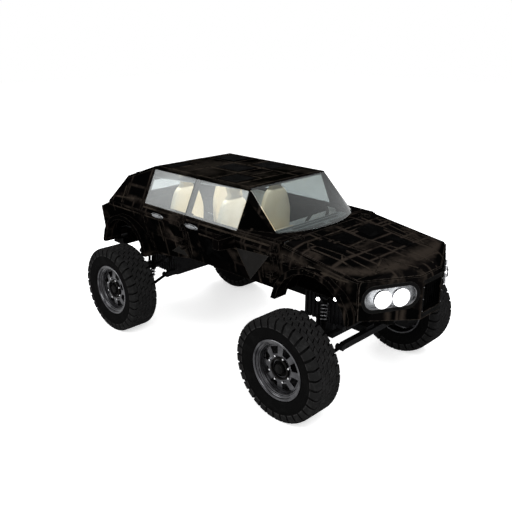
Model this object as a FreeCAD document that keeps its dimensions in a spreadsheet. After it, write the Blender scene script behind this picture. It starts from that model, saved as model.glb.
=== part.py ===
import FreeCAD, Part
import math
import os

# A lifted off-road 4x4: an angular five-door body on a ladder frame, four 40-inch tyres on long arms.
# The frame of reference has +X forward, +Y to the driver's left and +Z up, in millimetres.
# The origin is on the ground under the middle of the vehicle's length.

doc = FreeCAD.newDocument("LiftedOffRoader")
sheet = doc.addObject("Spreadsheet::Sheet", "Sizes")
Vector = FreeCAD.Vector


class Size(float):
    """A number that also carries the sheet expression it comes from."""

    def __new__(cls, value, text):
        number = super().__new__(cls, value)
        number.text = text
        return number

    def __add__(self, other):
        return Size(float(self) + float(other), f"({self.text} + {text_of(other)})")

    def __radd__(self, other):
        return Size(float(other) + float(self), f"({text_of(other)} + {self.text})")

    def __sub__(self, other):
        return Size(float(self) - float(other), f"({self.text} - {text_of(other)})")

    def __rsub__(self, other):
        return Size(float(other) - float(self), f"({text_of(other)} - {self.text})")

    def __mul__(self, other):
        return Size(float(self) * float(other), f"({self.text} * {text_of(other)})")

    def __rmul__(self, other):
        return Size(float(other) * float(self), f"({text_of(other)} * {self.text})")

    def __truediv__(self, other):
        return Size(float(self) / float(other), f"({self.text} / {text_of(other)})")

    def __neg__(self):
        return Size(-float(self), f"(-{self.text})")


def text_of(number):
    """Expression text of a size, or the plain digits of a share."""
    return number.text if isinstance(number, Size) else repr(float(number))


size_rows = []


def size(alias, value):
    """Write one driving dimension into the sheet and return it."""
    size_rows.append(alias)
    row = len(size_rows)
    sheet.set(f"A{row}", alias)
    sheet.set(f"B{row}", str(value))
    sheet.setAlias(f"B{row}", alias)
    return Size(value, f"Sizes.{alias}")


# Overall layout
wheelbase = size("wheelbase", 2722.0)
front_overhang = size("front_overhang", 870.0)
rear_overhang = size("rear_overhang", 775.0)
track_half = size("track_half", 991.0)
tyre_radius = size("tyre_radius", 514.0)
tyre_width = size("tyre_width", 342.0)
panel_gap = size("panel_gap", 8.0)
door_gap = size("door_gap", 9.0)
seat_gap = size("seat_gap", 0.3)
overrun = size("overrun", 400.0)
flatness = 0.001

front_axle = (wheelbase + rear_overhang - front_overhang) / 2
rear_axle = front_axle - wheelbase
middle = (front_axle + rear_axle) / 2
nose_tip = front_axle + front_overhang
tail_tip = rear_axle - rear_overhang

# Body section across the vehicle
sill_height = size("sill_height", 1066.0)
waist_rise = size("waist_rise", 428.0)
waist_height = sill_height + waist_rise
belt_rise = size("belt_rise", 81.0)
belt_height = waist_height + belt_rise
glass_rise = size("glass_rise", 406.0)
roof_height = belt_height + glass_rise
roof_half_width = size("roof_half_width", 581.0)
roof_thickness = size("roof_thickness", 30.0)
belt_half_width = size("belt_half_width", 773.0)
waist_half_width = size("waist_half_width", 813.0)
sill_half_width = size("sill_half_width", 711.0)
skirt_height = size("skirt_height", 850.0)
door_skin = size("door_skin", 20.0)
door_frame_depth = size("door_frame_depth", 50.0)
door_inset = size("door_inset", 15.0)
glass_thickness = size("glass_thickness", 6.0)
glass_inset = size("glass_inset", 5.0)
glass_gap = size("glass_gap", 7.0)
pillar_depth = size("pillar_depth", 40.0)
pillar_width = size("pillar_width", 46.0)
door_depth = door_skin + door_frame_depth
pull_length = size("pull_length", 210.0)
pull_height = size("pull_height", 46.0)
pull_depth = size("pull_depth", 14.0)
front_pull_advance = size("front_pull_advance", 118.0)
rear_pull_advance = size("rear_pull_advance", 294.0)
pull_drop = size("pull_drop", 88.0)
pull_centre = belt_height - pull_drop
roof_underside = roof_height - roof_thickness

# Stations along the vehicle
door_front_setback = size("door_front_setback", 376.0)
door_front = front_axle - door_front_setback
cabin_front_advance = size("cabin_front_advance", 464.0)
cabin_front = middle + cabin_front_advance
middle_post_setback = size("middle_post_setback", 345.0)
middle_post = middle - middle_post_setback
window_rear_advance = size("window_rear_advance", 275.0)
window_rear = rear_axle + window_rear_advance
front_post_width = size("front_post_width", 48.0)
middle_post_width = size("middle_post_width", 40.0)
front_post_rear = door_front + door_gap
fender_rear = front_post_rear + front_post_width + panel_gap
bonnet_rear_setback = size("bonnet_rear_setback", 286.0)
bonnet_rear = front_axle - bonnet_rear_setback
screen_corner_setback = size("screen_corner_setback", 499.0)
screen_corner = front_axle - screen_corner_setback
screen_middle_setback = size("screen_middle_setback", 326.0)
screen_middle = front_axle - screen_middle_setback
screen_half_width = size("screen_half_width", 591.0)
sill_front_height = size("sill_front_height", 1085.0)
sill_rear_height = size("sill_rear_height", 946.0)
sill_rear_advance = size("sill_rear_advance", 341.0)
sill_rear = rear_axle + sill_rear_advance

# Wheel arches
front_arch_advance = size("front_arch_advance", 122.0)
front_arch_at = front_axle + front_arch_advance
front_arch_height = size("front_arch_height", 980.0)
front_arch_inner = size("front_arch_inner", 417.0)
front_arch_outer = size("front_arch_outer", 472.0)
rear_arch_setback = size("rear_arch_setback", 107.0)
rear_arch_at = rear_axle - rear_arch_setback
rear_arch_height = size("rear_arch_height", 909.0)
rear_arch_inner = size("rear_arch_inner", 394.0)
rear_arch_outer = size("rear_arch_outer", 448.0)
rear_arch_ring = size("rear_arch_ring", 30.0)
flare_half_width = size("flare_half_width", 850.0)
flare_foot = size("flare_foot", 70.0)
liner_thickness = size("liner_thickness", 8.0)
liner_half_width = size("liner_half_width", 560.0)
liner_foot_height = size("liner_foot_height", 1112.0)

# Nose and bonnet
nose_half_width = size("nose_half_width", 173.0)
corner_advance = size("corner_advance", 580.0)
corner_at = front_axle + corner_advance
corner_half_width = size("corner_half_width", 735.0)
nose_wall = size("nose_wall", 40.0)
nose_foot_height = size("nose_foot_height", 998.0)
corner_foot_height = size("corner_foot_height", 1070.0)
bonnet_rise = size("bonnet_rise", 22.0)
bonnet_rear_height = belt_height + bonnet_rise
bonnet_fall = size("bonnet_fall", 148.0)
bonnet_nose_height = bonnet_rear_height - bonnet_fall
seam_rear_drop = size("seam_rear_drop", 37.0)
seam_rear_height = bonnet_rear_height - seam_rear_drop
seam_corner_drop = size("seam_corner_drop", 127.0)
seam_corner_height = seam_rear_height - seam_corner_drop
seam_nose_drop = size("seam_nose_drop", 48.0)
seam_nose_height = seam_corner_height - seam_nose_drop
bonnet_hinge_offset = size("bonnet_hinge_offset", 530.0)
crease_rear_half_width = size("crease_rear_half_width", 625.0)
crease_nose_half_width = size("crease_nose_half_width", 498.0)
bonnet_side_fall_share = 0.2
bonnet_round = size("bonnet_round", 130.0)
bonnet_wall = size("bonnet_wall", 24.0)
fender_wall = size("fender_wall", 40.0)
fender_waist_height = size("fender_waist_height", 1400.0)
fender_waist_half_width = size("fender_waist_half_width", 795.0)
fender_foot_half_width = size("fender_foot_half_width", 738.0)
grille_height = size("grille_height", 330.0)
grille_slat_count = 9
grille_slat_width = size("grille_slat_width", 14.0)
grille_depth = size("grille_depth", 26.0)
grille_bar = size("grille_bar", 26.0)
lamp_length = size("lamp_length", 520.0)
lamp_height = size("lamp_height", 200.0)
lamp_centre_height = size("lamp_centre_height", 1255.0)
lamp_recess = size("lamp_recess", 14.0)
lamp_bowl_radius = size("lamp_bowl_radius", 78.0)
lamp_bowl_spread = size("lamp_bowl_spread", 85.0)

# Tail
roof_rear_advance = size("roof_rear_advance", 276.0)
roof_rear = rear_axle + roof_rear_advance
slope_rear_setback = size("slope_rear_setback", 181.0)
slope_rear = rear_axle - slope_rear_setback
slope_drop = size("slope_drop", 169.0)
slope_height = roof_height - slope_drop
shoulder_rear_setback = size("shoulder_rear_setback", 429.0)
shoulder_rear = rear_axle - shoulder_rear_setback
shoulder_drop_height = size("shoulder_drop_height", 110.0)
shoulder_height = belt_height - shoulder_drop_height
ledge_rear_setback = size("ledge_rear_setback", 644.0)
ledge_rear = rear_axle - ledge_rear_setback
ledge_drop = size("ledge_drop", 90.0)
ledge_height = shoulder_height - ledge_drop
tail_foot_setback = size("tail_foot_setback", 745.0)
tail_foot = rear_axle - tail_foot_setback
tail_drop = size("tail_drop", 450.0)
tail_foot_height = ledge_height - tail_drop
tail_lamp_shares = (0.15, 0.6)
tailgate_half_width = size("tailgate_half_width", 600.0)
tailgate_wall = size("tailgate_wall", 45.0)
rear_glass_half_width = size("rear_glass_half_width", 500.0)
rear_glass_margin = size("rear_glass_margin", 60.0)

# Chassis
rail_offset = size("rail_offset", 400.0)
rail_width = size("rail_width", 60.0)
rail_foot = size("rail_foot", 970.0)
rail_depth = size("rail_depth", 120.0)
crossmember_width = size("crossmember_width", 80.0)
floor_height = size("floor_height", 1090.0)
floor_thickness = size("floor_thickness", 20.0)
floor_half_width = size("floor_half_width", 625.0)
rocker_inner = size("rocker_inner", 540.0)
cheek_depth = size("cheek_depth", 50.0)
rocker_lift = size("rocker_lift", 12.0)
housing_half_length = size("housing_half_length", 265.0)
front_housing_half_width = size("front_housing_half_width", 450.0)
rear_housing_half_width = size("rear_housing_half_width", 340.0)
front_housing_foot = size("front_housing_foot", 782.0)
rear_housing_foot = size("rear_housing_foot", 560.0)
housing_top = size("housing_top", 1088.0)
rib_depth = size("rib_depth", 14.0)
rib_pitch = size("rib_pitch", 48.0)
rib_width = size("rib_width", 24.0)
engine_length = size("engine_length", 520.0)
engine_half_width = size("engine_half_width", 230.0)
engine_height = size("engine_height", 320.0)

# Suspension and steering
kingpin_setback = size("kingpin_setback", 201.0)
kingpin_offset = track_half - kingpin_setback
kingpin_radius = size("kingpin_radius", 32.0)
knuckle_half_height = size("knuckle_half_height", 120.0)
spindle_radius = size("spindle_radius", 25.0)
carrier_flange = size("carrier_flange", 70.0)
carrier_flange_length = size("carrier_flange_length", 40.0)
tower_thickness = size("tower_thickness", 18.0)
boot_radius = size("boot_radius", 28.0)
upper_arm_inner_height = size("upper_arm_inner_height", 800.0)
lower_arm_inner_height = size("lower_arm_inner_height", 600.0)
arm_spread = size("arm_spread", 230.0)
arm_neck_spread = size("arm_neck_spread", 60.0)
arm_neck_radius = size("arm_neck_radius", 22.0)
arm_cross_radius = size("arm_cross_radius", 15.0)
shaft_inner_height = size("shaft_inner_height", 690.0)
arm_radius = size("arm_radius", 18.0)
joint_radius = size("joint_radius", 30.0)
joint_height = size("joint_height", 36.0)
pivot_length = size("pivot_length", 80.0)
coilover_top_advance = size("coilover_top_advance", 45.0)
coilover_foot_advance = size("coilover_foot_advance", 85.0)
coilover_top_offset = size("coilover_top_offset", 500.0)
coilover_top_height = size("coilover_top_height", 1060.0)
coilover_foot_offset = size("coilover_foot_offset", 590.0)
damper_radius = size("damper_radius", 22.0)
coil_radius = size("coil_radius", 38.0)
coil_wire = size("coil_wire", 7.0)
coil_pitch = size("coil_pitch", 62.0)
coil_share = 0.62
arm_pivot_offset = size("arm_pivot_offset", 486.0)
shaft_radius = size("shaft_radius", 18.0)
propshaft_radius = size("propshaft_radius", 38.0)

# Wheels
rim_radius = size("rim_radius", 301.0)
rim_wall = size("rim_wall", 12.0)
rim_lip = size("rim_lip", 16.0)
rim_disc_inset = size("rim_disc_inset", 88.0)
rim_disc_thickness = size("rim_disc_thickness", 16.0)
hub_radius = size("hub_radius", 82.0)
hub_length = size("hub_length", 120.0)
rim_slot_count = 8
rim_slot_inner = size("rim_slot_inner", 130.0)
rim_slot_outer = size("rim_slot_outer", 235.0)
rim_slot_inner_width = size("rim_slot_inner_width", 62.0)
rim_slot_outer_width = size("rim_slot_outer_width", 112.0)
shoulder_drop = size("shoulder_drop", 22.0)
sidewall_height = size("sidewall_height", 48.0)
tread_round = size("tread_round", 18.0)
groove_width = size("groove_width", 22.0)
groove_depth = size("groove_depth", 14.0)
groove_start = size("groove_start", 56.0)

# Flat sides of round parts, kept few
bar_side_count = 6
ring_side_count = 16
arch_side_count = 20
tread_block_count = 24
screen_facet_count = 10
lamp_arc_count = 8
rim_side_count = 16

# Hinges
hinge_offset = size("hinge_offset", 824.0)
hinge_radius = size("hinge_radius", 9.0)
hinge_pin_radius = size("hinge_pin_radius", 4.0)
hinge_length = size("hinge_length", 36.0)
hinge_leaf = size("hinge_leaf", 60.0)
hinge_low_height = size("hinge_low_height", 1230.0)
hinge_high_height = size("hinge_high_height", 1450.0)

# Cabin
dash_rear_setback = size("dash_rear_setback", 740.0)
dash_rear = front_axle - dash_rear_setback
dash_top = size("dash_top", 1560.0)
dash_foot = size("dash_foot", 1300.0)
dash_nose_drop = size("dash_nose_drop", 80.0)
dash_half_width = size("dash_half_width", 585.0)
bulkhead_thickness = size("bulkhead_thickness", 20.0)
seat_offset = size("seat_offset", 330.0)
seat_width = size("seat_width", 480.0)
seat_length = size("seat_length", 500.0)
cushion_height = size("cushion_height", 190.0)
seat_back_depth = size("seat_back_depth", 110.0)
seat_back_height = size("seat_back_height", 620.0)
headrest_width = size("headrest_width", 180.0)
headrest_flare = size("headrest_flare", 25.0)
neck_width = size("neck_width", 120.0)
seat_shoulder_width = size("seat_shoulder_width", 340.0)
waist_share = 0.35
shoulder_share = 0.66
neck_share = 0.76
front_seat_back_advance = size("front_seat_back_advance", 10.0)
front_seat_back = middle + front_seat_back_advance
rear_seat_back_setback = size("rear_seat_back_setback", 800.0)
rear_seat_back = middle - rear_seat_back_setback
wheel_ring_radius = size("wheel_ring_radius", 175.0)
wheel_ring_thickness = size("wheel_ring_thickness", 12.0)
column_radius = size("column_radius", 22.0)
steering_wheel_setback = size("steering_wheel_setback", 785.0)
steering_wheel_at = front_axle - steering_wheel_setback
steering_tilt = size("steering_tilt", 25.0)
steering_wheel_height = size("steering_wheel_height", 1490.0)
mirror_length = size("mirror_length", 120.0)
mirror_reach = size("mirror_reach", 210.0)
mirror_height = size("mirror_height", 130.0)
mirror_taper = size("mirror_taper", 17.0)
bumper_depth = size("bumper_depth", 90.0)
bumper_half_width = size("bumper_half_width", 560.0)
bumper_height = size("bumper_height", 86.0)
bumper_drop = size("bumper_drop", 66.0)
receiver_size = size("receiver_size", 64.0)
receiver_bore = size("receiver_bore", 51.0)
receiver_length = size("receiver_length", 260.0)

LEFT, RIGHT = 1.0, -1.0
SIDES = (("left", LEFT), ("right", RIGHT))
pieces = {}


def feature(name, shape):
    """A document object that carries a computed shape."""
    thing = doc.addObject("Part::Feature", name)
    thing.Shape = shape
    thing.Label = name
    pieces[name] = thing
    return thing


def prism(points, normal):
    """Closed flat outline pushed along a vector."""
    return Part.Face(Part.makePolygon(points + points[:1])).extrude(normal)


def across(outline, low, high):
    """Outline given as (x, z) pushed along Y from low to high."""
    return prism([Vector(x, low, z) for x, z in outline], Vector(0, high - low, 0))


def along(outline, low, high):
    """Outline given as (y, z) pushed along X from low to high."""
    return prism([Vector(low, y, z) for y, z in outline], Vector(high - low, 0, 0))


def upright(outline, low, high):
    """Outline given as (x, y) pushed along Z from low to high."""
    return prism([Vector(x, y, low) for x, y in outline], Vector(0, 0, high - low))


def box(x_pair, y_pair, z_pair):
    """Box between three pairs of limits, in either order."""
    lows = [min(pair) for pair in (x_pair, y_pair, z_pair)]
    highs = [max(pair) for pair in (x_pair, y_pair, z_pair)]
    return Part.makeBox(*[high - low for low, high in zip(lows, highs)], Vector(*lows))


def rod(start, end, radius, sides=bar_side_count):
    """Bar of flat sides between two points, with its corners on the radius."""
    run = end - start
    angles = [2 * math.pi * (index + 0.5) / sides for index in range(sides)]
    corners = [Vector(radius * math.cos(angle), radius * math.sin(angle), 0) for angle in angles]
    bar = prism(corners, Vector(0, 0, run.Length))
    bar.Placement = FreeCAD.Placement(start, FreeCAD.Rotation(Vector(0, 0, 1), run))
    return bar


def hole(start, end, radius, sides=bar_side_count):
    """Bar of flat sides whose flats, not its corners, lie on the radius."""
    return rod(start, end, radius / math.cos(math.pi / sides), sides)


def faceted(rings, closed=False):
    """Solid of flat faces through rings that have equally many corners, capped or closed on itself."""
    outlines = [] if closed else [rings[0], rings[-1]]
    for first, second in zip(rings, rings[1:] + rings[:1] if closed else rings[1:]):
        for index, corner in enumerate(first):
            following = (index + 1) % len(first)
            quad = [corner, first[following], second[following], second[index]]
            normal = (quad[1] - quad[0]).cross(quad[2] - quad[0])
            normal.normalize()
            if abs(normal.dot(quad[3] - quad[0])) < flatness:
                outlines.append(quad)
            else:
                outlines += [quad[:3], [quad[0], quad[2], quad[3]]]
    solid = Part.Solid(Part.Shell([Part.Face(Part.makePolygon(ring + ring[:1])) for ring in outlines]))
    if solid.Volume < 0:
        solid.reverse()
    return solid


def fuse(shapes):
    """One solid from touching shapes."""
    result = shapes[0]
    for shape in shapes[1:]:
        result = result.fuse(shape)
    return result.removeSplitter()


def offset_line(points, distance):
    """Polyline of (x, z) shifted to the right-hand side of its run, mitred at its corners."""
    shifted = []
    normals = []
    for (x0, z0), (x1, z1) in zip(points, points[1:]):
        length = math.hypot(x1 - x0, z1 - z0)
        normals.append(((z1 - z0) / length, -(x1 - x0) / length))
    for index, (x, z) in enumerate(points):
        before = normals[max(index - 1, 0)]
        after = normals[min(index, len(normals) - 1)]
        half = 1.0 + before[0] * after[0] + before[1] * after[1]
        step = distance / half
        shifted.append((x + (before[0] + after[0]) * step, z + (before[1] + after[1]) * step))
    return shifted


def band(points, depth):
    """Closed outline of a bent sheet whose outer line is given."""
    return list(points) + offset_line(points, depth)[::-1]


def skin_at(height):
    """Half width of the outer skin at a height."""
    rows = (
        (sill_height, sill_half_width),
        (waist_height, waist_half_width),
        (belt_height, belt_half_width),
        (roof_height, roof_half_width),
    )
    low, high = rows[0], rows[1]
    for first, second in zip(rows[1:], rows[2:]):
        if height > first[0]:
            low, high = first, second
    share = (height - low[0]) / (high[0] - low[0])
    return low[1] + share * (high[1] - low[1])


def side_slab(side, x_pair, depths, heights):
    """Length of the body side between two depths behind the skin and two heights."""
    stops = [heights[0]]
    stops += [z for z in (waist_height, belt_height) if heights[0] < z < heights[1]]
    stops += [heights[1]]
    outer = [(side * (skin_at(z) - depths[0]), z) for z in stops]
    inner = [(side * (skin_at(z) - depths[1]), z) for z in stops]
    return along(outer + inner[::-1], min(x_pair), max(x_pair))


def side_outline(side, outline):
    """Outline (x, z) as a cutter that reaches through one body side."""
    return across(outline, side * rocker_inner / 2, side * (flare_half_width + overrun))


def arch_cylinder(side, at, height, radius, y_pair):
    """Round bar across the vehicle at a wheel arch."""
    start = Vector(at, side * y_pair[0], height)
    return hole(start, Vector(at, side * y_pair[1], height), radius, arch_side_count)


def sill_line(x):
    """Height of the body's lower edge at a station."""
    rows = (
        (sill_rear, sill_rear_height),
        (middle_post, sill_height),
        (door_front, sill_front_height),
    )
    if x <= rows[0][0]:
        return rows[0][1]
    low, high = (rows[0], rows[1]) if x < rows[1][0] else (rows[1], rows[2])
    return low[1] + (x - low[0]) / (high[0] - low[0]) * (high[1] - low[1])


rocker_outer = skin_at(sill_rear_height) - door_depth - glass_thickness
front_door_span = (middle_post + middle_post_width / 2 + door_gap, door_front)
rear_door_span = (window_rear, middle_post - middle_post_width / 2 - door_gap)
tail_line = [
    (slope_rear, slope_height),
    (shoulder_rear, shoulder_height),
    (ledge_rear, ledge_height),
    (tail_foot, tail_foot_height),
]


def door_shape(side, span, extra_stations):
    """Outer skin and the smaller inner frame of one door, without its glass."""
    rear, front = span

    def outline(inset):
        foot = [(x, sill_line(x) + inset) for x in (rear + inset, *extra_stations, front - inset)]
        return foot + [(front - inset, belt_height), (rear + inset, belt_height)]

    whole = (skirt_height, belt_height)
    skin = side_slab(side, span, (0, door_skin), whole).common(side_outline(side, outline(0)))
    frame = side_slab(side, span, (door_skin, door_depth), whole)
    frame = frame.common(side_outline(side, outline(door_inset)))
    return skin, frame


def hinge_barrel(side, at, low):
    """Barrel of a door hinge with its pin hole."""
    foot = Vector(at, side * hinge_offset, low)
    return rod(foot, foot + Vector(0, 0, hinge_length), hinge_radius)


def hinge_leaf_box(side, x_pair, low):
    """Strap that joins a hinge barrel to the skin behind it."""
    inner = skin_at(low) - door_skin / 2
    return box(x_pair, (side * inner, side * (hinge_offset + hinge_radius / 2)), (low, low + hinge_length))


def door_pull(side, centre):
    """Lens-shaped pull low under the belt, about a station."""
    half = pull_length / 2
    rise = pull_height / 2
    outline = [(centre - half, pull_centre), (centre - half / 2, pull_centre - rise),
               (centre + half / 2, pull_centre - rise), (centre + half, pull_centre),
               (centre + half / 2, pull_centre + rise), (centre - half / 2, pull_centre + rise)]
    low = skin_at(pull_centre)
    return across(outline, side * (low - door_skin / 2), side * (low + pull_depth))


def make_doors():
    """Four doors, each with the barrels of its outside hinges."""
    for word, side in SIDES:
        front_parts = door_shape(side, front_door_span, ())
        rear_parts = door_shape(side, rear_door_span, (sill_rear,))
        ring = rear_arch_outer + rear_arch_ring + door_gap
        depth_range = (rocker_inner / 2, flare_half_width + overrun)
        rear_parts = [
            part.cut(arch_cylinder(side, rear_arch_at, rear_arch_height, radius, depth_range))
            for part, radius in zip(rear_parts, (ring, ring + door_inset))
        ]
        for label, parts, span, pull_advance in (
            ("front_door", front_parts, front_door_span, front_pull_advance),
            ("rear_door", rear_parts, rear_door_span, rear_pull_advance),
        ):
            rear, front = span
            solid = fuse(list(parts) + [door_pull(side, rear + pull_advance)])
            axis = front + door_gap / 2
            for low in (hinge_low_height, hinge_high_height):
                strap = hinge_leaf_box(side, (axis - hinge_leaf, axis - hinge_radius / 2), low)
                solid = solid.fuse(strap).fuse(hinge_barrel(side, axis, low))
                foot = Vector(axis, side * hinge_offset, low)
                solid = solid.cut(hole(foot, foot + Vector(0, 0, hinge_length), hinge_pin_radius + seat_gap))
            feature(f"{label}_{word}", solid.removeSplitter())


def make_side_glass():
    """Frameless glass of the four doors, standing on their belt line."""
    top = roof_underside - glass_gap
    depths = (glass_inset, glass_inset + glass_thickness)
    for word, side in SIDES:
        front = (middle_post + panel_gap / 2, cabin_front - panel_gap / 2)
        rear = (window_rear + panel_gap, middle_post - panel_gap / 2)
        feature(f"front_door_glass_{word}", side_slab(side, front, depths, (belt_height, top)))
        feature(f"rear_door_glass_{word}", side_slab(side, rear, depths, (belt_height, top)))


def body_hinge(side, at):
    """Fixed leaves and pins of one door's two hinges."""
    parts = []
    for low in (hinge_low_height, hinge_high_height):
        for foot in (low - hinge_length - seat_gap, low + hinge_length + seat_gap):
            knuckle = hinge_barrel(side, at, foot)
            strap_inner = skin_at(foot) - door_skin / 2
            reach = (side * strap_inner, side * (hinge_offset + hinge_radius / 2))
            strap = box((at + hinge_radius / 2, at + hinge_leaf / 2), reach, (foot, foot + hinge_length))
            arm = box((at, at + hinge_leaf / 2), (side * (hinge_offset - hinge_radius / 2),
                      side * (hinge_offset + hinge_radius / 2)), (foot, foot + hinge_length))
            parts += [knuckle, strap, arm]
        pin_foot = Vector(at, side * hinge_offset, low - hinge_length)
        parts.append(rod(pin_foot, pin_foot + Vector(0, 0, 3 * hinge_length), hinge_pin_radius))
    return parts


def arch_flare(side, at, height, inner, outer, foot):
    """Half ring that stands out from the skin round a wheel arch."""
    reach = (sill_half_width - door_skin, flare_half_width)
    ring = arch_cylinder(side, at, height, outer, reach)
    ring = ring.cut(arch_cylinder(side, at, height, inner, (rocker_inner, flare_half_width + overrun)))
    keep = box((at - 2 * outer, at + 2 * outer), (0, side * 2 * flare_half_width), (foot, height + 2 * outer))
    return ring.common(keep)


def arch_liner(side, at, height, radius, outer_reach):
    """Inner wheel arch: a half drum with its end wall."""
    wall = (liner_half_width, outer_reach)
    inside = (liner_half_width + liner_thickness, outer_reach + overrun)
    drum = arch_cylinder(side, at, height, radius + liner_thickness / 2, wall)
    drum = drum.cut(arch_cylinder(side, at, height, radius - liner_thickness / 2, inside))
    keep = box((at - 2 * radius, at + 2 * radius), (0, side * 2 * outer_reach),
               (liner_foot_height, height + 2 * radius))
    return drum.common(keep)


def make_body_sides():
    """Fixed side of the body: posts, rocker, screen pillar, rear quarter with its arch."""
    for word, side in SIDES:
        whole = (skirt_height, belt_height)
        posts = []
        front_post = (front_post_rear, front_post_rear + front_post_width)
        shape = side_slab(side, front_post, (0, door_depth), whole)
        foot_line = [(x, sill_line(x)) for x in front_post]
        shape = shape.common(side_outline(side, foot_line + [(front_post[1], 2 * belt_height),
                                                             (front_post[0], 2 * belt_height)]))
        posts.append(shape.cut(arch_cylinder(side, front_arch_at, front_arch_height, front_arch_outer,
                                             (rocker_inner, flare_half_width))))
        half = middle_post_width / 2
        shape = side_slab(side, (middle_post - half, middle_post + half), (0, door_depth + pillar_depth), whole)
        posts.append(shape.common(box((middle_post - half, middle_post + half), (0, side * 2 * flare_half_width),
                                      (sill_height, belt_height))))
        half = pillar_width / 2
        depths = (glass_inset + glass_thickness + glass_gap, door_depth)
        posts.append(side_slab(side, (middle_post - half, middle_post + half), depths,
                               (belt_height - pillar_depth, roof_underside)).common(
            box((middle_post - half, middle_post + half), (0, side * 2 * flare_half_width),
                (belt_height + panel_gap, roof_underside))))
        posts.append(side_slab(side, (middle_post - middle_post_width / 2, middle_post + middle_post_width / 2),
                               depths, (belt_height - pillar_depth, roof_underside)))
        rocker_line = [(x, sill_line(x) + rocker_lift) for x in (sill_rear, middle_post, front_post[1])]
        rocker_top = floor_height + floor_thickness
        rocker = across(rocker_line + [(front_post[1], rocker_top), (sill_rear, rocker_top)],
                        side * rocker_inner, side * rocker_outer)
        posts.append(rocker)
        corner_block = box(front_post, (side * rocker_inner, side * (skin_at(sill_front_height) - door_skin)),
                           (sill_front_height + rocker_lift, rocker_top))
        posts.append(corner_block.cut(arch_cylinder(side, front_arch_at, front_arch_height, front_arch_outer,
                                                    (rocker_inner, flare_half_width))))
        posts += make_quarter(side)
        posts += make_screen_pillar(side, front_post[1])
        posts += body_hinge(side, door_front + door_gap / 2)
        posts += body_hinge(side, rear_door_span[1] + door_gap / 2)
        feature(f"body_side_{word}", fuse(posts))


def make_quarter(side):
    """Rear quarter: upper cheek, lower panel, tail corner, arch flare and liner."""
    front = window_rear - panel_gap
    lower_front = window_rear - door_gap
    upper = side_slab(side, (front, tail_foot), (0, cheek_depth), (belt_height, roof_underside))
    profile = [(front, roof_underside), (front, belt_height), (shoulder_rear, belt_height),
               (slope_rear, slope_height), (roof_rear, roof_height)]
    upper = upper.common(side_outline(side, offset_low(profile)))
    lower = side_slab(side, (sill_rear + rear_arch_ring, tail_foot), (0, door_depth),
                      (skirt_height, belt_height))
    reach = (rocker_inner, flare_half_width + overrun)
    behind = side_outline(side, [
        (lower_front, sill_rear_height),
        (lower_front, belt_height),
        (shoulder_rear + (slope_rear - shoulder_rear) * tail_share(), belt_height),
        (shoulder_rear, shoulder_height),
        (ledge_rear, ledge_height),
        (tail_foot, tail_foot_height),
    ])
    ring = arch_cylinder(side, rear_arch_at, rear_arch_height, rear_arch_outer + rear_arch_ring, reach)
    ring = ring.common(box((rear_arch_at - 2 * rear_arch_outer, rear_arch_at + 2 * rear_arch_outer),
                           (0, side * 2 * flare_half_width), (sill_rear_height, 2 * rear_arch_height)))
    lower = lower.common(behind.fuse(ring))
    lower = lower.cut(arch_cylinder(side, rear_arch_at, rear_arch_height, rear_arch_inner,
                                    (rocker_inner / 2, flare_half_width + overrun)))
    corner = across(band(tail_line, -tailgate_wall), side * (tailgate_half_width + panel_gap),
                    side * flare_half_width)
    hull = side_slab(side, (rear_axle - 2 * rear_overhang, rear_axle), (0, waist_half_width),
                     (skirt_height, roof_height))
    corner = corner.common(hull).common(behind_roof(side))
    flare = arch_flare(side, rear_arch_at, rear_arch_height, rear_arch_inner, rear_arch_outer,
                       sill_rear_height)
    liner = arch_liner(side, rear_arch_at, rear_arch_height, rear_arch_inner, skin_at(waist_height) - door_skin)
    liner = liner.common(hull)
    bridge = box((sill_rear, rear_arch_at + rear_arch_inner), (side * rocker_inner,
                 side * (skin_at(sill_rear_height) - door_skin)),
                 (sill_rear_height + rocker_lift, sill_rear_height + rocker_lift + pillar_depth))
    return [upper, lower, corner, flare, liner, bridge]


def behind_roof(side):
    """Space behind the roof sheet's rear edge on one side, or on both for zero."""
    y_pair = (-flare_half_width, flare_half_width) if side == 0 else (0, side * flare_half_width)
    return box((slope_rear - panel_gap, 2 * tail_tip), y_pair, (0, roof_height))


def tail_inside(height):
    """Station just ahead of the tailgate's inner face at a height."""
    share = (height - tail_foot_height) / (ledge_height - tail_foot_height)
    return tail_foot + (ledge_rear - tail_foot) * share + tailgate_wall + 2 * panel_gap


def tail_share():
    """How far up the tail's steep face the belt line lies."""
    return (belt_height - shoulder_height) / (slope_height - shoulder_height)


def offset_low(profile):
    """Rear cheek outline with its top line under the roof sheet."""
    front_top, front_low, _, slope, roof = profile
    sheet_line = offset_line([(cabin_front, roof_height), roof, slope], -roof_thickness)
    share = tail_share()
    tail_x = shoulder_rear + (slope_rear - shoulder_rear) * share
    return [front_top, front_low, (tail_x, belt_height), slope, sheet_line[2], sheet_line[1]]


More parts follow.
